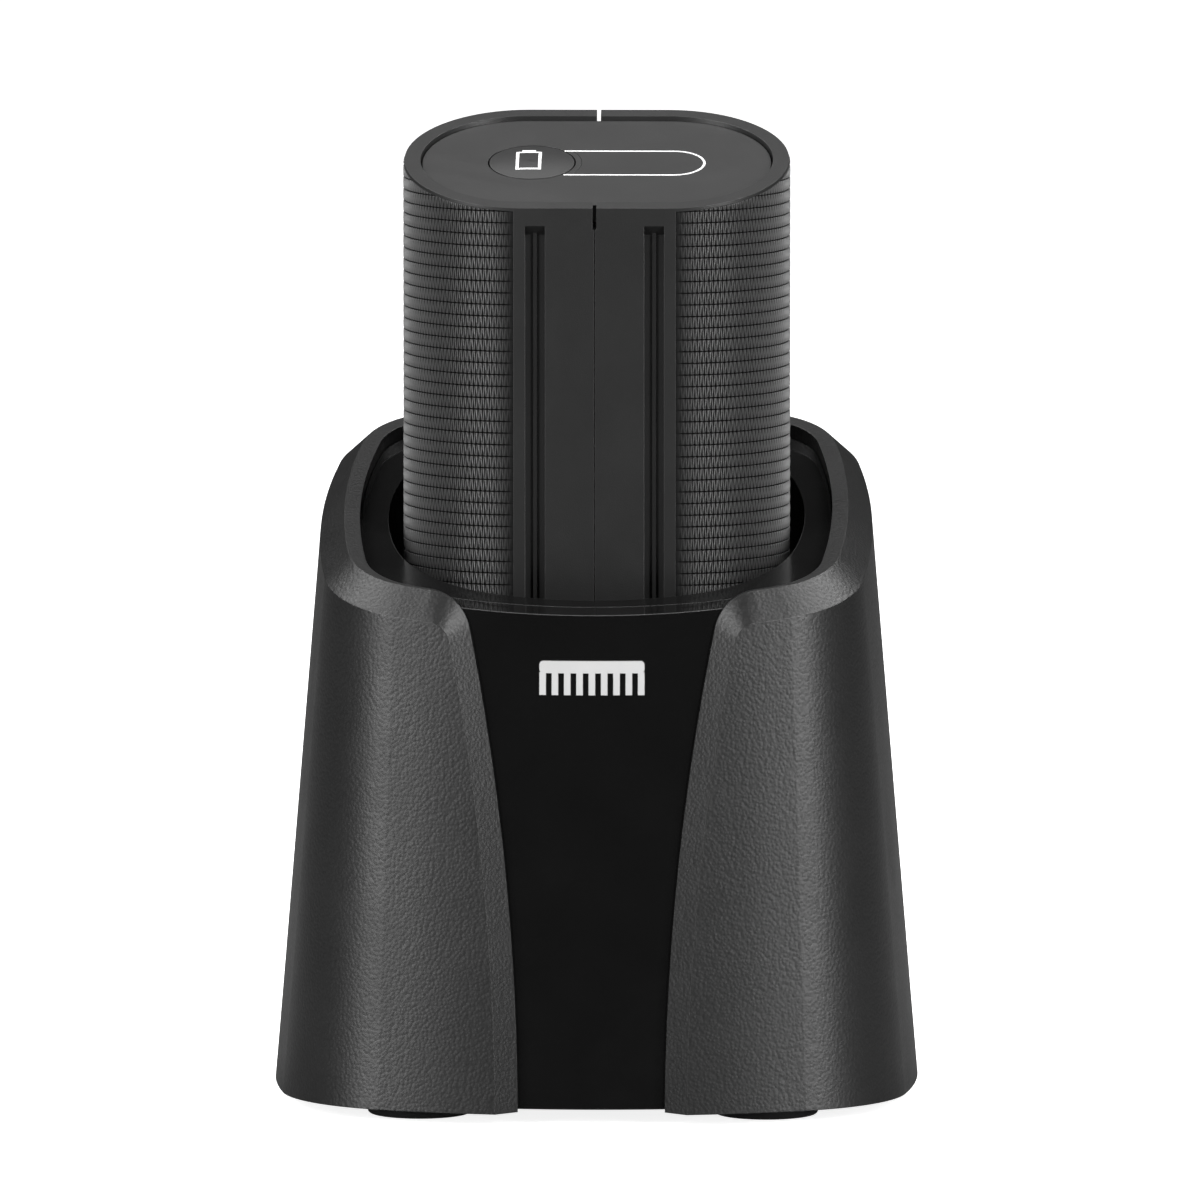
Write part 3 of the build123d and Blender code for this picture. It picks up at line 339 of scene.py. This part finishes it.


# The edge colour given to each finish is a painted highlight along its edges.
FINISHES = {
    "shell_matte": moulded("pebbled_shell", grey(0.005), grey(0.009), 0.41, 0.06, 0.42, 0.04,
                           pebble=0.7, edge_mm=0.16, edge_highlight=grey(0.04), smudges=0.04),
    "panel_gloss": moulded("gloss_panel", grey(0.004), grey(0.006), 0.07, 0.01, 0.5, 0.0004,
                           edge_mm=0.18, edge_highlight=grey(0.3), smudges=0.05, coat=0.5),
    "liner_gloss": moulded("gloss_liner", grey(0.004), grey(0.006), 0.1, 0.01, 0.5, 0.0006,
                           edge_mm=0.18, edge_highlight=grey(0.03), smudges=0.06),
    "badge_grey": moulded("satin_badge", grey(0.5), grey(0.6), 0.35, 0.04, 0.12, 0.004,
                          edge_mm=0.05, edge_highlight=grey(0.75), smudges=0.05),
    "base_plastic": moulded("fine_black_base", grey(0.015), grey(0.024), 0.55, 0.05, 0.2, 0.015,
                            edge_highlight=grey(0.04)),
    "foot_rubber": moulded("foot_rubber", grey(0.012), grey(0.02), 0.75, 0.05, 0.15, 0.01,
                           pebble=0.3, edge_highlight=grey(0.03), specular=0.3, sheen=0.15),
    "pack_plastic": moulded("sandy_pack", grey(0.008), grey(0.014), 0.44, 0.05, 0.16, 0.022,
                            pebble=0.3, edge_mm=0.1, edge_highlight=grey(0.06), smudges=0.05),
    "grip_rubber": moulded("grip_rubber", grey(0.012), grey(0.02), 0.6, 0.05, 0.1, 0.008,
                           pebble=0.3, edge_highlight=grey(0.03), specular=0.4, sheen=0.1),
    "cap_plastic": moulded("satin_cap", grey(0.018), grey(0.026), 0.38, 0.05, 0.09, 0.006,
                           pebble=0.2, edge_mm=0.08, edge_highlight=grey(0.05), smudges=0.06),
    "gauge_smoke": moulded("satin_gauge", grey(0.017), grey(0.025), 0.38, 0.05, 0.09, 0.006,
                           pebble=0.2, edge_mm=0.05, edge_highlight=grey(0.04), smudges=0.06),
    "component_black": moulded("component_black", grey(0.012), grey(0.02), 0.5, 0.06, 0.12, 0.01,
                               edge_highlight=grey(0.05)),
    "carrier_plastic": moulded("white_nylon", grey(0.55, 0.02), grey(0.65, 0.02), 0.5, 0.05, 0.3, 0.01,
                               edge_highlight=grey(0.75)),
    "foam": moulded("foam_pad", grey(0.03), grey(0.06), 0.9, 0.05, 0.3, 0.08, specular=0.1, sheen=0.3),
    "lamp": moulded("clear_lamp", grey(0.7), grey(0.8), 0.2, 0.03, 0.3, 0.002, coat=0.4),
}
print("moulded finishes:", len(FINISHES))

# %% [markdown]
# ## Metals, board and cells
#
# The metal pieces are plated or drawn, so they show fine scratches along one direction. A noise that is
# stretched by a Mapping node gives them. The circuit boards are green lacquer with paler copper runs
# under it, and the cells wear a printed shrink sleeve.

# %% Metal finish
def plated(name, colour, rough, stretch, scratch_mm=0.2, relief_mm=0.004):
    """A metal with fine scratches. stretch says how long they are along X, Y and Z."""
    material = bpy.data.materials.new(name)
    material.use_nodes = True
    tree = material.node_tree
    shader = tree.nodes["Principled BSDF"]
    shader.inputs["Metallic"].default_value = 1.0
    where = put(tree, "ShaderNodeTexCoord").outputs["Object"]
    turned = put(tree, "ShaderNodeMapping", {"Vector": where}, Scale=[1 / s for s in stretch])
    scratch = put(tree, "ShaderNodeTexNoise", {"Vector": turned.outputs["Vector"]},
                  Scale=1.0 / (scratch_mm * MM), Detail=3.0)
    tint = put(tree, "ShaderNodeMix", {"Factor": scratch.outputs["Fac"]}, data_type="RGBA")
    tint.inputs["A"].default_value = [0.8 * c for c in colour] + [1]
    tint.inputs["B"].default_value = list(colour) + [1]
    tree.links.new(tint.outputs["Result"], shader.inputs["Base Color"])
    dull = put(tree, "ShaderNodeMapRange", {"Value": scratch.outputs["Fac"]},
               To_Min=rough - 0.08, To_Max=rough + 0.08)
    tree.links.new(dull.outputs["Result"], shader.inputs["Roughness"])
    rounded = put(tree, "ShaderNodeGroup", node_tree=edges)
    rounded.inputs["Radius"].default_value = 0.08 * MM
    bumps = put(tree, "ShaderNodeBump", {"Height": scratch.outputs["Fac"],
                "Normal": rounded.outputs["Normal"]}, Distance=relief_mm * MM)
    tree.links.new(bumps.outputs["Normal"], shader.inputs["Normal"])
    return material


FINISHES["zinc_steel"] = plated("zinc_steel", (0.55, 0.56, 0.58), 0.35, (4, 4, 1))
FINISHES["component_grey"] = plated("component_can", (0.6, 0.6, 0.62), 0.35, (1, 1, 6))
FINISHES["contact_gold"] = plated("contact_gold", (0.9, 0.66, 0.28), 0.22, (1, 1, 1))
FINISHES["spring_steel"] = plated("spring_steel", (0.62, 0.62, 0.64), 0.25, (3, 3, 1))
FINISHES["nickel"] = plated("nickel_strip", (0.7, 0.68, 0.64), 0.28, (1, 1, 12))
print("with metals:", len(FINISHES))

# %% Board and cell finishes
def lacquered(name, under, over, size_mm, rough, feature="BRICK"):
    """Two colours in a hard-edged pattern under a clear lacquer."""
    material = bpy.data.materials.new(name)
    material.use_nodes = True
    tree = material.node_tree
    shader = tree.nodes["Principled BSDF"]
    shader.inputs["Coat Weight"].default_value = 0.3
    where = put(tree, "ShaderNodeTexCoord").outputs["Object"]
    if feature == "BRICK":
        runs = put(tree, "ShaderNodeTexBrick", {"Vector": where}, Scale=1.0 / (size_mm * MM), offset=0.35)
        runs.inputs["Color1"].default_value = over
        runs.inputs["Color2"].default_value = over
        runs.inputs["Mortar"].default_value = under
        runs.inputs["Mortar Size"].default_value = 0.03
        colour = runs.outputs["Color"]
    else:
        bands = put(tree, "ShaderNodeTexWave", {"Vector": where}, bands_direction="Z",
                    Scale=1.0 / (size_mm * MM))
        edge = put(tree, "ShaderNodeMath", {0: bands.outputs["Fac"]}, operation="GREATER_THAN")
        edge.inputs[1].default_value = 0.96
        mix = put(tree, "ShaderNodeMix", {"Factor": edge.outputs["Value"]}, data_type="RGBA")
        mix.inputs["A"].default_value = over
        mix.inputs["B"].default_value = under
        colour = mix.outputs["Result"]
    tree.links.new(colour, shader.inputs["Base Color"])
    marks = put(tree, "ShaderNodeGroup", {"Vector": where}, node_tree=handling)
    dull = put(tree, "ShaderNodeMapRange", {"Value": marks.outputs["Smudge"]},
               To_Min=rough, To_Max=rough + 0.15)
    tree.links.new(dull.outputs["Result"], shader.inputs["Roughness"])
    return material


FINISHES["board_green"] = lacquered("board_green", (0.02, 0.12, 0.05, 1), (0.01, 0.07, 0.03, 1), 4.0, 0.25)
FINISHES["cell_wrap"] = lacquered("cell_sleeve", (0.6, 0.62, 0.65, 1), (0.03, 0.12, 0.3, 1), 50.0, 0.3,
                                  feature="BAND")
print("finishes:", len(FINISHES))

# %% [markdown]
# ## Finishes on the model's pieces
#
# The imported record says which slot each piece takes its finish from, so one loop dresses them all.

# %% Dress the pieces
slot_of = {row["node"]: row["material_slot"] for row in frame["record"]["subparts"]}
for node, piece in frame["nodes"].items():
    piece.data.materials.clear()
    piece.data.materials.append(FINISHES[slot_of[node]])
print("dressed:", len(slot_of))

# %% [markdown]
# ## Knit grips
#
# Each end of the pack is wrapped in a soft grip whose surface is moulded like knitting: courses of
# narrow V stitches, turned over in every other course, with a fine groove between courses. Bump alone
# would leave the outline smooth, so the stitches are real relief. The whole grip is one grid that is
# bent round the end by Geometry Nodes: four columns make a stitch, four rows make a course, and a few
# more columns run back behind it as the inner wall, so the shell is closed.

# %% Formula helper
def calc(tree, operation, *values, clamp=False):
    """One Math node. Numbers are set on it and sockets are wired to it."""
    node = tree.nodes.new("ShaderNodeMath")
    node.operation = operation
    node.use_clamp = clamp
    for i, value in enumerate(values):
        if isinstance(value, (int, float)):
            node.inputs[i].default_value = value
        else:
            tree.links.new(value, node.inputs[i])
    return node.outputs[0]


# %% Knit tree
COLUMNS_PER_STITCH = 4
ROWS_PER_COURSE = 4
INNER_COLUMNS = 12
KNIT_INPUTS = (
    ("Stitches", "NodeSocketInt"), ("Courses", "NodeSocketInt"), ("Course Height", "NodeSocketFloat"),
    ("Lean", "NodeSocketFloat"), ("Relief", "NodeSocketFloat"), ("Groove", "NodeSocketFloat"),
    ("Groove Share", "NodeSocketFloat"), ("Fade", "NodeSocketFloat"), ("Radius", "NodeSocketFloat"),
    ("Wall", "NodeSocketFloat"), ("First Angle", "NodeSocketFloat"), ("Centre", "NodeSocketFloat"),
    ("Bottom", "NodeSocketFloat"), ("Side", "NodeSocketFloat"), ("Material", "NodeSocketMaterial"),
)


def knit_tree():
    """A grid whose columns run round the pack's end and back inside it, and whose rows run up."""
    tree = bpy.data.node_groups.new("knit_grip", "GeometryNodeTree")
    tree.interface.new_socket(name="Geometry", in_out="INPUT", socket_type="NodeSocketGeometry")
    for label, kind in KNIT_INPUTS:
        tree.interface.new_socket(name=label, in_out="INPUT", socket_type=kind)
    tree.interface.new_socket(name="Geometry", in_out="OUTPUT", socket_type="NodeSocketGeometry")
    given = tree.nodes.new("NodeGroupInput").outputs

    def m(operation, *values, clamp=False):
        return calc(tree, operation, *values, clamp=clamp)

    outer = m("MULTIPLY", given["Stitches"], COLUMNS_PER_STITCH)
    across = m("ADD", outer, INNER_COLUMNS + 2)
    upward = m("MULTIPLY", given["Courses"], ROWS_PER_COURSE)
    sheet = tree.nodes.new("GeometryNodeMeshGrid")
    tree.links.new(across, sheet.inputs["Size X"])
    tree.links.new(upward, sheet.inputs["Size Y"])
    tree.links.new(m("ADD", across, 1), sheet.inputs["Vertices X"])
    tree.links.new(m("ADD", upward, 1), sheet.inputs["Vertices Y"])
    place = tree.nodes.new("ShaderNodeSeparateXYZ")
    tree.links.new(tree.nodes.new("GeometryNodeInputPosition").outputs[0], place.inputs[0])
    column = m("ROUND", m("ADD", place.outputs["X"], m("MULTIPLY", across, 0.5)))
    row = m("ROUND", m("ADD", place.outputs["Y"], m("MULTIPLY", upward, 0.5)))

    # The last column falls on the first one. The others past the outer stretch are the inner wall.
    column = m("MULTIPLY", column, m("LESS_THAN", column, m("SUBTRACT", across, 0.5)))
    inner = m("GREATER_THAN", column, m("ADD", outer, 0.5))
    back = m("SUBTRACT", 1, m("DIVIDE", m("SUBTRACT", column, m("ADD", outer, 1)), INNER_COLUMNS))

    # Each course is one V high, and every other course is turned over.
    course = m("FLOOR", m("DIVIDE", row, ROWS_PER_COURSE))
    step = m("SUBTRACT", row, m("MULTIPLY", course, ROWS_PER_COURSE))
    row_share = m("SUBTRACT", 0.5, given["Groove Share"])
    on_lip = m("ADD", given["Groove Share"], m("MULTIPLY", m("SUBTRACT", step, 1), row_share))
    in_course = m("MULTIPLY", on_lip, m("GREATER_THAN", step, 0.5))
    turn = m("SUBTRACT", 1, m("MULTIPLY", 2, m("MODULO", course, 2)))
    swing = m("MULTIPLY", turn, m("SUBTRACT", m("MULTIPLY", in_course, 2), 1))
    phase = m("MULTIPLY", column, math.pi / 2)
    strand = m("SINE", phase)
    shift = m("MULTIPLY", m("MULTIPLY", strand, swing), given["Lean"])

    # Strands stand proud. The notch between two of them is shallow where they meet.
    notch = m("MULTIPLY", m("COSINE", phase), swing)
    on_strand = m("ABSOLUTE", strand)
    valley = m("SUBTRACT", 0.14, m("MULTIPLY", notch, 0.14))
    from_middle = m("ABSOLUTE", m("SUBTRACT", in_course, 0.5))
    crown = m("SUBTRACT", 1, m("MULTIPLY", 0.6, m("POWER", from_middle, 2)))
    between = m("MULTIPLY", m("SUBTRACT", 1, on_strand), valley)
    rise = m("ADD", m("MULTIPLY", on_strand, crown), between)
    from_edge = m("MINIMUM", column, m("SUBTRACT", outer, column))
    fade = m("DIVIDE", from_edge, given["Fade"], clamp=True)
    in_groove = m("LESS_THAN", step, 0.5)
    faded = m("MULTIPLY", m("MULTIPLY", rise, given["Relief"]), fade)
    relief = m("MULTIPLY", faded, m("SUBTRACT", 1, in_groove))
    groove_fade = m("DIVIDE", from_edge, m("MULTIPLY", given["Fade"], 0.35), clamp=True)
    dip = m("MULTIPLY", m("MULTIPLY", given["Groove"], in_groove), groove_fade)
    height = m("SUBTRACT", relief, dip)

    # Bend the grid round the end of the pack.
    outer_share = m("DIVIDE", m("ADD", column, shift), outer)
    share = m("ADD", m("MULTIPLY", outer_share, m("SUBTRACT", 1, inner)), m("MULTIPLY", back, inner))
    sweep = m("SUBTRACT", math.pi, m("MULTIPLY", given["First Angle"], 2))
    angle = m("ADD", given["First Angle"], m("MULTIPLY", share, sweep))
    outside = m("ADD", given["Radius"], height)
    inside = m("SUBTRACT", given["Radius"], given["Wall"])
    radius = m("ADD", m("MULTIPLY", outside, m("SUBTRACT", 1, inner)), m("MULTIPLY", inside, inner))
    outwards = m("ADD", given["Centre"], m("MULTIPLY", radius, m("SINE", angle)))
    bent = tree.nodes.new("ShaderNodeCombineXYZ")
    tree.links.new(m("MULTIPLY", outwards, given["Side"]), bent.inputs["X"])
    tree.links.new(m("MULTIPLY", m("MULTIPLY", radius, m("COSINE", angle)), -1), bent.inputs["Y"])
    level = m("ADD", given["Bottom"], m("MULTIPLY", m("ADD", course, in_course), given["Course Height"]))
    tree.links.new(level, bent.inputs["Z"])
    # The height is stored while the grid is still flat, because rows and columns are read from it.
    ridge = tree.nodes.new("GeometryNodeStoreNamedAttribute")
    ridge.data_type = "FLOAT"
    ridge.domain = "POINT"
    ridge.inputs["Name"].default_value = "ridge"
    tree.links.new(sheet.outputs["Mesh"], ridge.inputs["Geometry"])
    full_height = m("ADD", given["Relief"], given["Groove"])
    tree.links.new(m("DIVIDE", m("ADD", height, given["Groove"]), full_height), ridge.inputs["Value"])
    moved = tree.nodes.new("GeometryNodeSetPosition")
    tree.links.new(ridge.outputs["Geometry"], moved.inputs["Geometry"])
    tree.links.new(bent.outputs[0], moved.inputs["Position"])
    closed = tree.nodes.new("GeometryNodeMergeByDistance")
    closed.inputs["Distance"].default_value = 0.000002
    tree.links.new(moved.outputs["Geometry"], closed.inputs["Geometry"])
    real = tree.nodes.new("GeometryNodeRealizeInstances")
    tree.links.new(closed.outputs["Geometry"], real.inputs["Geometry"])
    finish = tree.nodes.new("GeometryNodeSetMaterial")
    tree.links.new(real.outputs["Geometry"], finish.inputs["Geometry"])
    tree.links.new(given["Material"], finish.inputs["Material"])
    tree.links.new(finish.outputs["Geometry"], tree.nodes.new("NodeGroupOutput").inputs["Geometry"])
    return tree


knit = knit_tree()
print("knit tree nodes:", len(knit.nodes))

# %% [markdown]
# ### Knit finish
#
# The rubber is painted paler on the ridges as a painted highlight, and darker in the notches as
# painted shade. The tree stored each point's height as the attribute "ridge", so the painted light and
# shade follow the stitches exactly.

# %% Knit finish
def knit_finish():
    """Rubber whose colour, with its painted highlight and shade, and whose roughness follow the height of the
    stitches.
    """
    material = bpy.data.materials.new("knit_rubber")
    material.use_nodes = True
    tree = material.node_tree
    shader = tree.nodes["Principled BSDF"]
    where = put(tree, "ShaderNodeTexCoord").outputs["Object"]
    ridge = put(tree, "ShaderNodeAttribute", attribute_name="ridge")
    grains = put(tree, "ShaderNodeGroup", {"Vector": where}, node_tree=grain)
    grains.inputs["Scale"].default_value = 1.0 / (0.1 * MM)
    steep = put(tree, "ShaderNodeMath", {0: ridge.outputs["Fac"]}, operation="POWER")
    steep.inputs[1].default_value = 2.0
    # Painted light and shade: the ridges are painted paler as a highlight and the notches darker as shade.
    tone = put(tree, "ShaderNodeMix", {"Factor": steep.outputs["Value"]}, data_type="RGBA")
    tone.inputs["A"].default_value = grey(0.004)
    tone.inputs["B"].default_value = grey(0.14)
    tree.links.new(tone.outputs["Result"], shader.inputs["Base Color"])
    dull = put(tree, "ShaderNodeMapRange", {"Value": ridge.outputs["Fac"]}, To_Min=0.65, To_Max=0.38)
    shine = put(tree, "ShaderNodeMapRange", {"Value": steep.outputs["Value"]}, To_Min=0.02, To_Max=0.95)
    tree.links.new(shine.outputs["Result"], shader.inputs["Specular IOR Level"])
    tree.links.new(dull.outputs["Result"], shader.inputs["Roughness"])
    bumps = put(tree, "ShaderNodeBump", {"Height": grains.outputs["Height"]}, Distance=0.004 * MM)
    tree.links.new(bumps.outputs["Normal"], shader.inputs["Normal"])
    return material


knit_rubber = knit_finish()
print("knit finish made")

# %% Knit grips
STITCH_WIDTH = 0.6 * MM
COURSE_HEIGHT = 1.46 * MM
KNIT_RELIEF = 0.24 * MM
KNIT_GROOVE = 0.06 * MM
KNIT_SUNK = 0.08 * MM
GRIP_WALL = 0.88 * MM
STRAND_LEAN = 0.72
GROOVE_SHARE = 0.075
FADE_COLUMNS = 20.0
SHARP_ANGLE = math.radians(30)


def knit_grip(name, node, side):
    """One closed grip: the bent grid as a plain mesh, cut along the slope and capped at both ends."""
    low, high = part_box(node)
    inner_x = min(abs(low.x), abs(high.x))
    centre = abs(end_centre)
    first = math.asin((inner_x - centre) / pack_radius)
    around = (math.pi - 2 * first) * pack_radius
    cut = Vector((0, high.y, high.z))
    host = bpy.data.objects.new(name, bpy.data.meshes.new(name))
    bpy.context.collection.objects.link(host)
    modifier = host.modifiers.new("knit", "NODES")
    modifier.node_group = knit
    values = {
        "Stitches": round(around / STITCH_WIDTH),
        "Courses": math.ceil((high.z - low.z) / COURSE_HEIGHT) + 1,
        "Course Height": COURSE_HEIGHT,
        "Lean": STRAND_LEAN,
        "Relief": KNIT_RELIEF,
        "Groove": KNIT_GROOVE,
        "Groove Share": GROOVE_SHARE,
        "Fade": FADE_COLUMNS,
        "Radius": pack_radius - KNIT_SUNK,
        "Wall": GRIP_WALL - KNIT_SUNK,
        "First Angle": first,
        "Centre": centre,
        "Bottom": low.z,
        "Side": side,
        "Material": knit_rubber,
    }
    for item in knit.interface.items_tree:
        if item.in_out == "INPUT" and item.name in values:
            modifier[item.identifier] = values[item.name]
    bpy.context.view_layer.update()
    evaluated = host.evaluated_get(bpy.context.evaluated_depsgraph_get())
    mesh = bpy.data.meshes.new_from_object(evaluated)
    host.modifiers.clear()
    host.data = mesh
    mesh.name = name
    shape = bmesh.new()
    shape.from_mesh(mesh)
    everything = shape.verts[:] + shape.edges[:] + shape.faces[:]
    bmesh.ops.bisect_plane(shape, geom=everything, plane_co=cut, plane_no=top_normal, clear_outer=True)
    rims = [e for e in shape.edges if e.is_boundary]
    bmesh.ops.holes_fill(shape, edges=rims)
    bmesh.ops.recalc_face_normals(shape, faces=shape.faces[:])
    open_edges = sum(not e.is_manifold for e in shape.edges)
    triangles = sum(len(f.verts) - 2 for f in shape.faces)
    for face in shape.faces:
        face.smooth = True
    shape.to_mesh(mesh)
    shape.free()
    mesh.set_sharp_from_angle(angle=SHARP_ANGLE)
    ridges = [value.value for value in mesh.attributes["ridge"].data]
    print(name, "stitches", values["Stitches"], "courses", values["Courses"], "triangles", triangles,
          "open edges", open_edges, "ridge from", round(min(ridges), 2), "to", round(max(ridges), 2))
    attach(host, "battery_pack")
    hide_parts(node)
    return host


knit_grip("knit_grip_left", "grip_left", -1)
knit_grip("knit_grip_right", "grip_right", 1)

# %% [markdown]
# ## White prints
#
# Pad printing lays a thin film of white ink on the moulding: a battery symbol on the check button and
# the outline of a round-ended bar, the charge gauge, beside it. A texture would need an image, and a
# film is a real thing, so each print is a very thin closed ribbon. Its path is drawn on the slope. The
# gauge's line stays flat there, and the symbol's points are dropped onto the button's curve below.

# %% Ink
# Its edge colour is a painted highlight too.
ink = moulded("white_ink", grey(0.78), grey(0.88), 0.45, 0.06, 0.08, 0.002, pebble=0.2, edge_mm=0.02,
              edge_highlight=grey(0.9))
INK_THICKNESS = 0.02 * MM


def surface_of(*nodes):
    """The model's own pieces as one search tree, so that a print can be laid on them."""
    points, faces = [], []
    for node in nodes:
        mesh = frame["nodes"][node].data
        start = len(points)
        points += [v.co.copy() for v in mesh.vertices]
        faces += [[start + i for i in polygon.vertices] for polygon in mesh.polygons]
    return BVHTree.FromPolygons(points, faces)


def laid(tree, origin, across, along, lift):
    """The point of the surface below (across, along) on the slope, or of the slope itself, lifted."""
    flat = origin + Vector((across, 0, 0)) + up_slope * along
    hit = tree.ray_cast(flat + top_normal * 0.01, -top_normal)[0] if tree else flat
    return hit + top_normal * lift


def ribbon(shape, tree, origin, path, width, closed):
    """A thin closed band along a path of (across, along) points."""
    count = len(path)
    rings = []
    for i, here in enumerate(path):
        before = path[i - 1] if closed or i > 0 else here
        after = path[(i + 1) % count] if closed or i < count - 1 else here
        a = (Vector(here) - Vector(before)).normalized() if here != before else Vector((0, 0))
        b = (Vector(after) - Vector(here)).normalized() if here != after else Vector((0, 0))
        way = (a + b).normalized()
        miter = max(0.5, way.dot(b if b.length else a))
        off = Vector((-way.y, way.x)) * width / 2 / miter
        left, right = Vector(here) + off, Vector(here) - off
        rings.append([
            shape.verts.new(laid(tree, origin, p.x, p.y, lift))
            for p, lift in ((left, 0.0), (left, INK_THICKNESS), (right, INK_THICKNESS), (right, 0.0))
        ])
    pairs = list(zip(rings, rings[1:])) + ([(rings[-1], rings[0])] if closed else [])
    for first, second in pairs:
        for k in range(4):
            shape.faces.new((first[k], first[(k + 1) % 4], second[(k + 1) % 4], second[k]))
    if not closed:
        shape.faces.new(rings[0][::-1])
        shape.faces.new(rings[-1])


def finish_print(name, shape, body):
    """The bands as one piece that rides with its body."""
    bmesh.ops.recalc_face_normals(shape, faces=shape.faces[:])
    mesh = bpy.data.meshes.new(name)
    shape.to_mesh(mesh)
    shape.free()
    mesh.materials.append(ink)
    piece = bpy.data.objects.new(name, mesh)
    bpy.context.collection.objects.link(piece)
    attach(piece, body)
    print(name, "faces", len(mesh.polygons))
    return piece


# %% [markdown]
# The gauge's outline starts at the button's edge, runs along the window, turns round its end in a
# half circle and comes back. The symbol is a small upright battery: a frame with a bar on its top.

# %% Gauge outline
window_low, window_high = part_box("gauge_window")
cap_low, cap_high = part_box("end_cap")
button_low, button_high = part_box("charge_button")
cap_middle = (cap_low + cap_high) / 2
slope_origin = Vector((0, cap_middle.y, cap_high.z - up_slope.z * (cap_high.y - cap_middle.y) / up_slope.y))
button_x = (button_low.x + button_high.x) / 2
GAUGE_LINE = 0.3 * MM
LINE_START_RADIUS = 5.55 * MM
STRAIGHT_STEPS = 8
TURN_STEPS = 24
gauge_inset = 0.12 * MM
gauge_half = (window_high.y - window_low.y) / 2 / up_slope.y - gauge_inset
gauge_end = window_high.x - gauge_inset
gauge_start = button_x + math.sqrt(LINE_START_RADIUS**2 - gauge_half**2)
turn_centre = gauge_end - gauge_half
straight_step = (turn_centre - gauge_start) / STRAIGHT_STEPS
half_turn = [math.pi / 2 - math.pi * i / TURN_STEPS for i in range(TURN_STEPS + 1)]
outline = [(gauge_start + straight_step * i, gauge_half) for i in range(STRAIGHT_STEPS)]
outline += [(turn_centre + gauge_half * math.cos(t), gauge_half * math.sin(t)) for t in half_turn]
outline += [(turn_centre - straight_step * i, -gauge_half) for i in range(1, STRAIGHT_STEPS + 1)]
gauge_print = bmesh.new()
ribbon(gauge_print, None, slope_origin, outline, GAUGE_LINE, False)
finish_print("gauge_outline", gauge_print, "battery_pack")

# %% Battery symbol
SYMBOL_WIDTH = 2.8 * MM
SYMBOL_HEIGHT = 5.2 * MM
SYMBOL_LINE = 0.38 * MM
SYMBOL_SHIFT = -0.4 * MM
SYMBOL_DROP = 0.0 * MM
TERMINAL_WIDTH = 1.7 * MM
TERMINAL_HEIGHT = 0.6 * MM


def stepped(corners, steps=6):
    """A closed path through the corners, with points between them so that it can follow a curve."""
    path = []
    for (x0, y0), (x1, y1) in zip(corners, corners[1:] + corners[:1]):
        path += [(x0 + (x1 - x0) * i / steps, y0 + (y1 - y0) * i / steps) for i in range(steps)]
    return path


symbol_x = button_x + SYMBOL_SHIFT
half_w, half_h = SYMBOL_WIDTH / 2, SYMBOL_HEIGHT / 2
frame_corners = [
    (symbol_x - half_w, SYMBOL_DROP - half_h), (symbol_x + half_w, SYMBOL_DROP - half_h),
    (symbol_x + half_w, SYMBOL_DROP + half_h), (symbol_x - half_w, SYMBOL_DROP + half_h),
]
terminal_y = SYMBOL_DROP + half_h + SYMBOL_LINE / 2 + TERMINAL_HEIGHT / 2
terminal = [(symbol_x + TERMINAL_WIDTH * (i / 4 - 0.5), terminal_y) for i in range(5)]
symbol_print = bmesh.new()
button_surface = surface_of("charge_button")
ribbon(symbol_print, button_surface, slope_origin, stepped(frame_corners), SYMBOL_LINE, True)
ribbon(symbol_print, button_surface, slope_origin, terminal, TERMINAL_HEIGHT, False)
finish_print("battery_symbol", symbol_print, "charge_button")
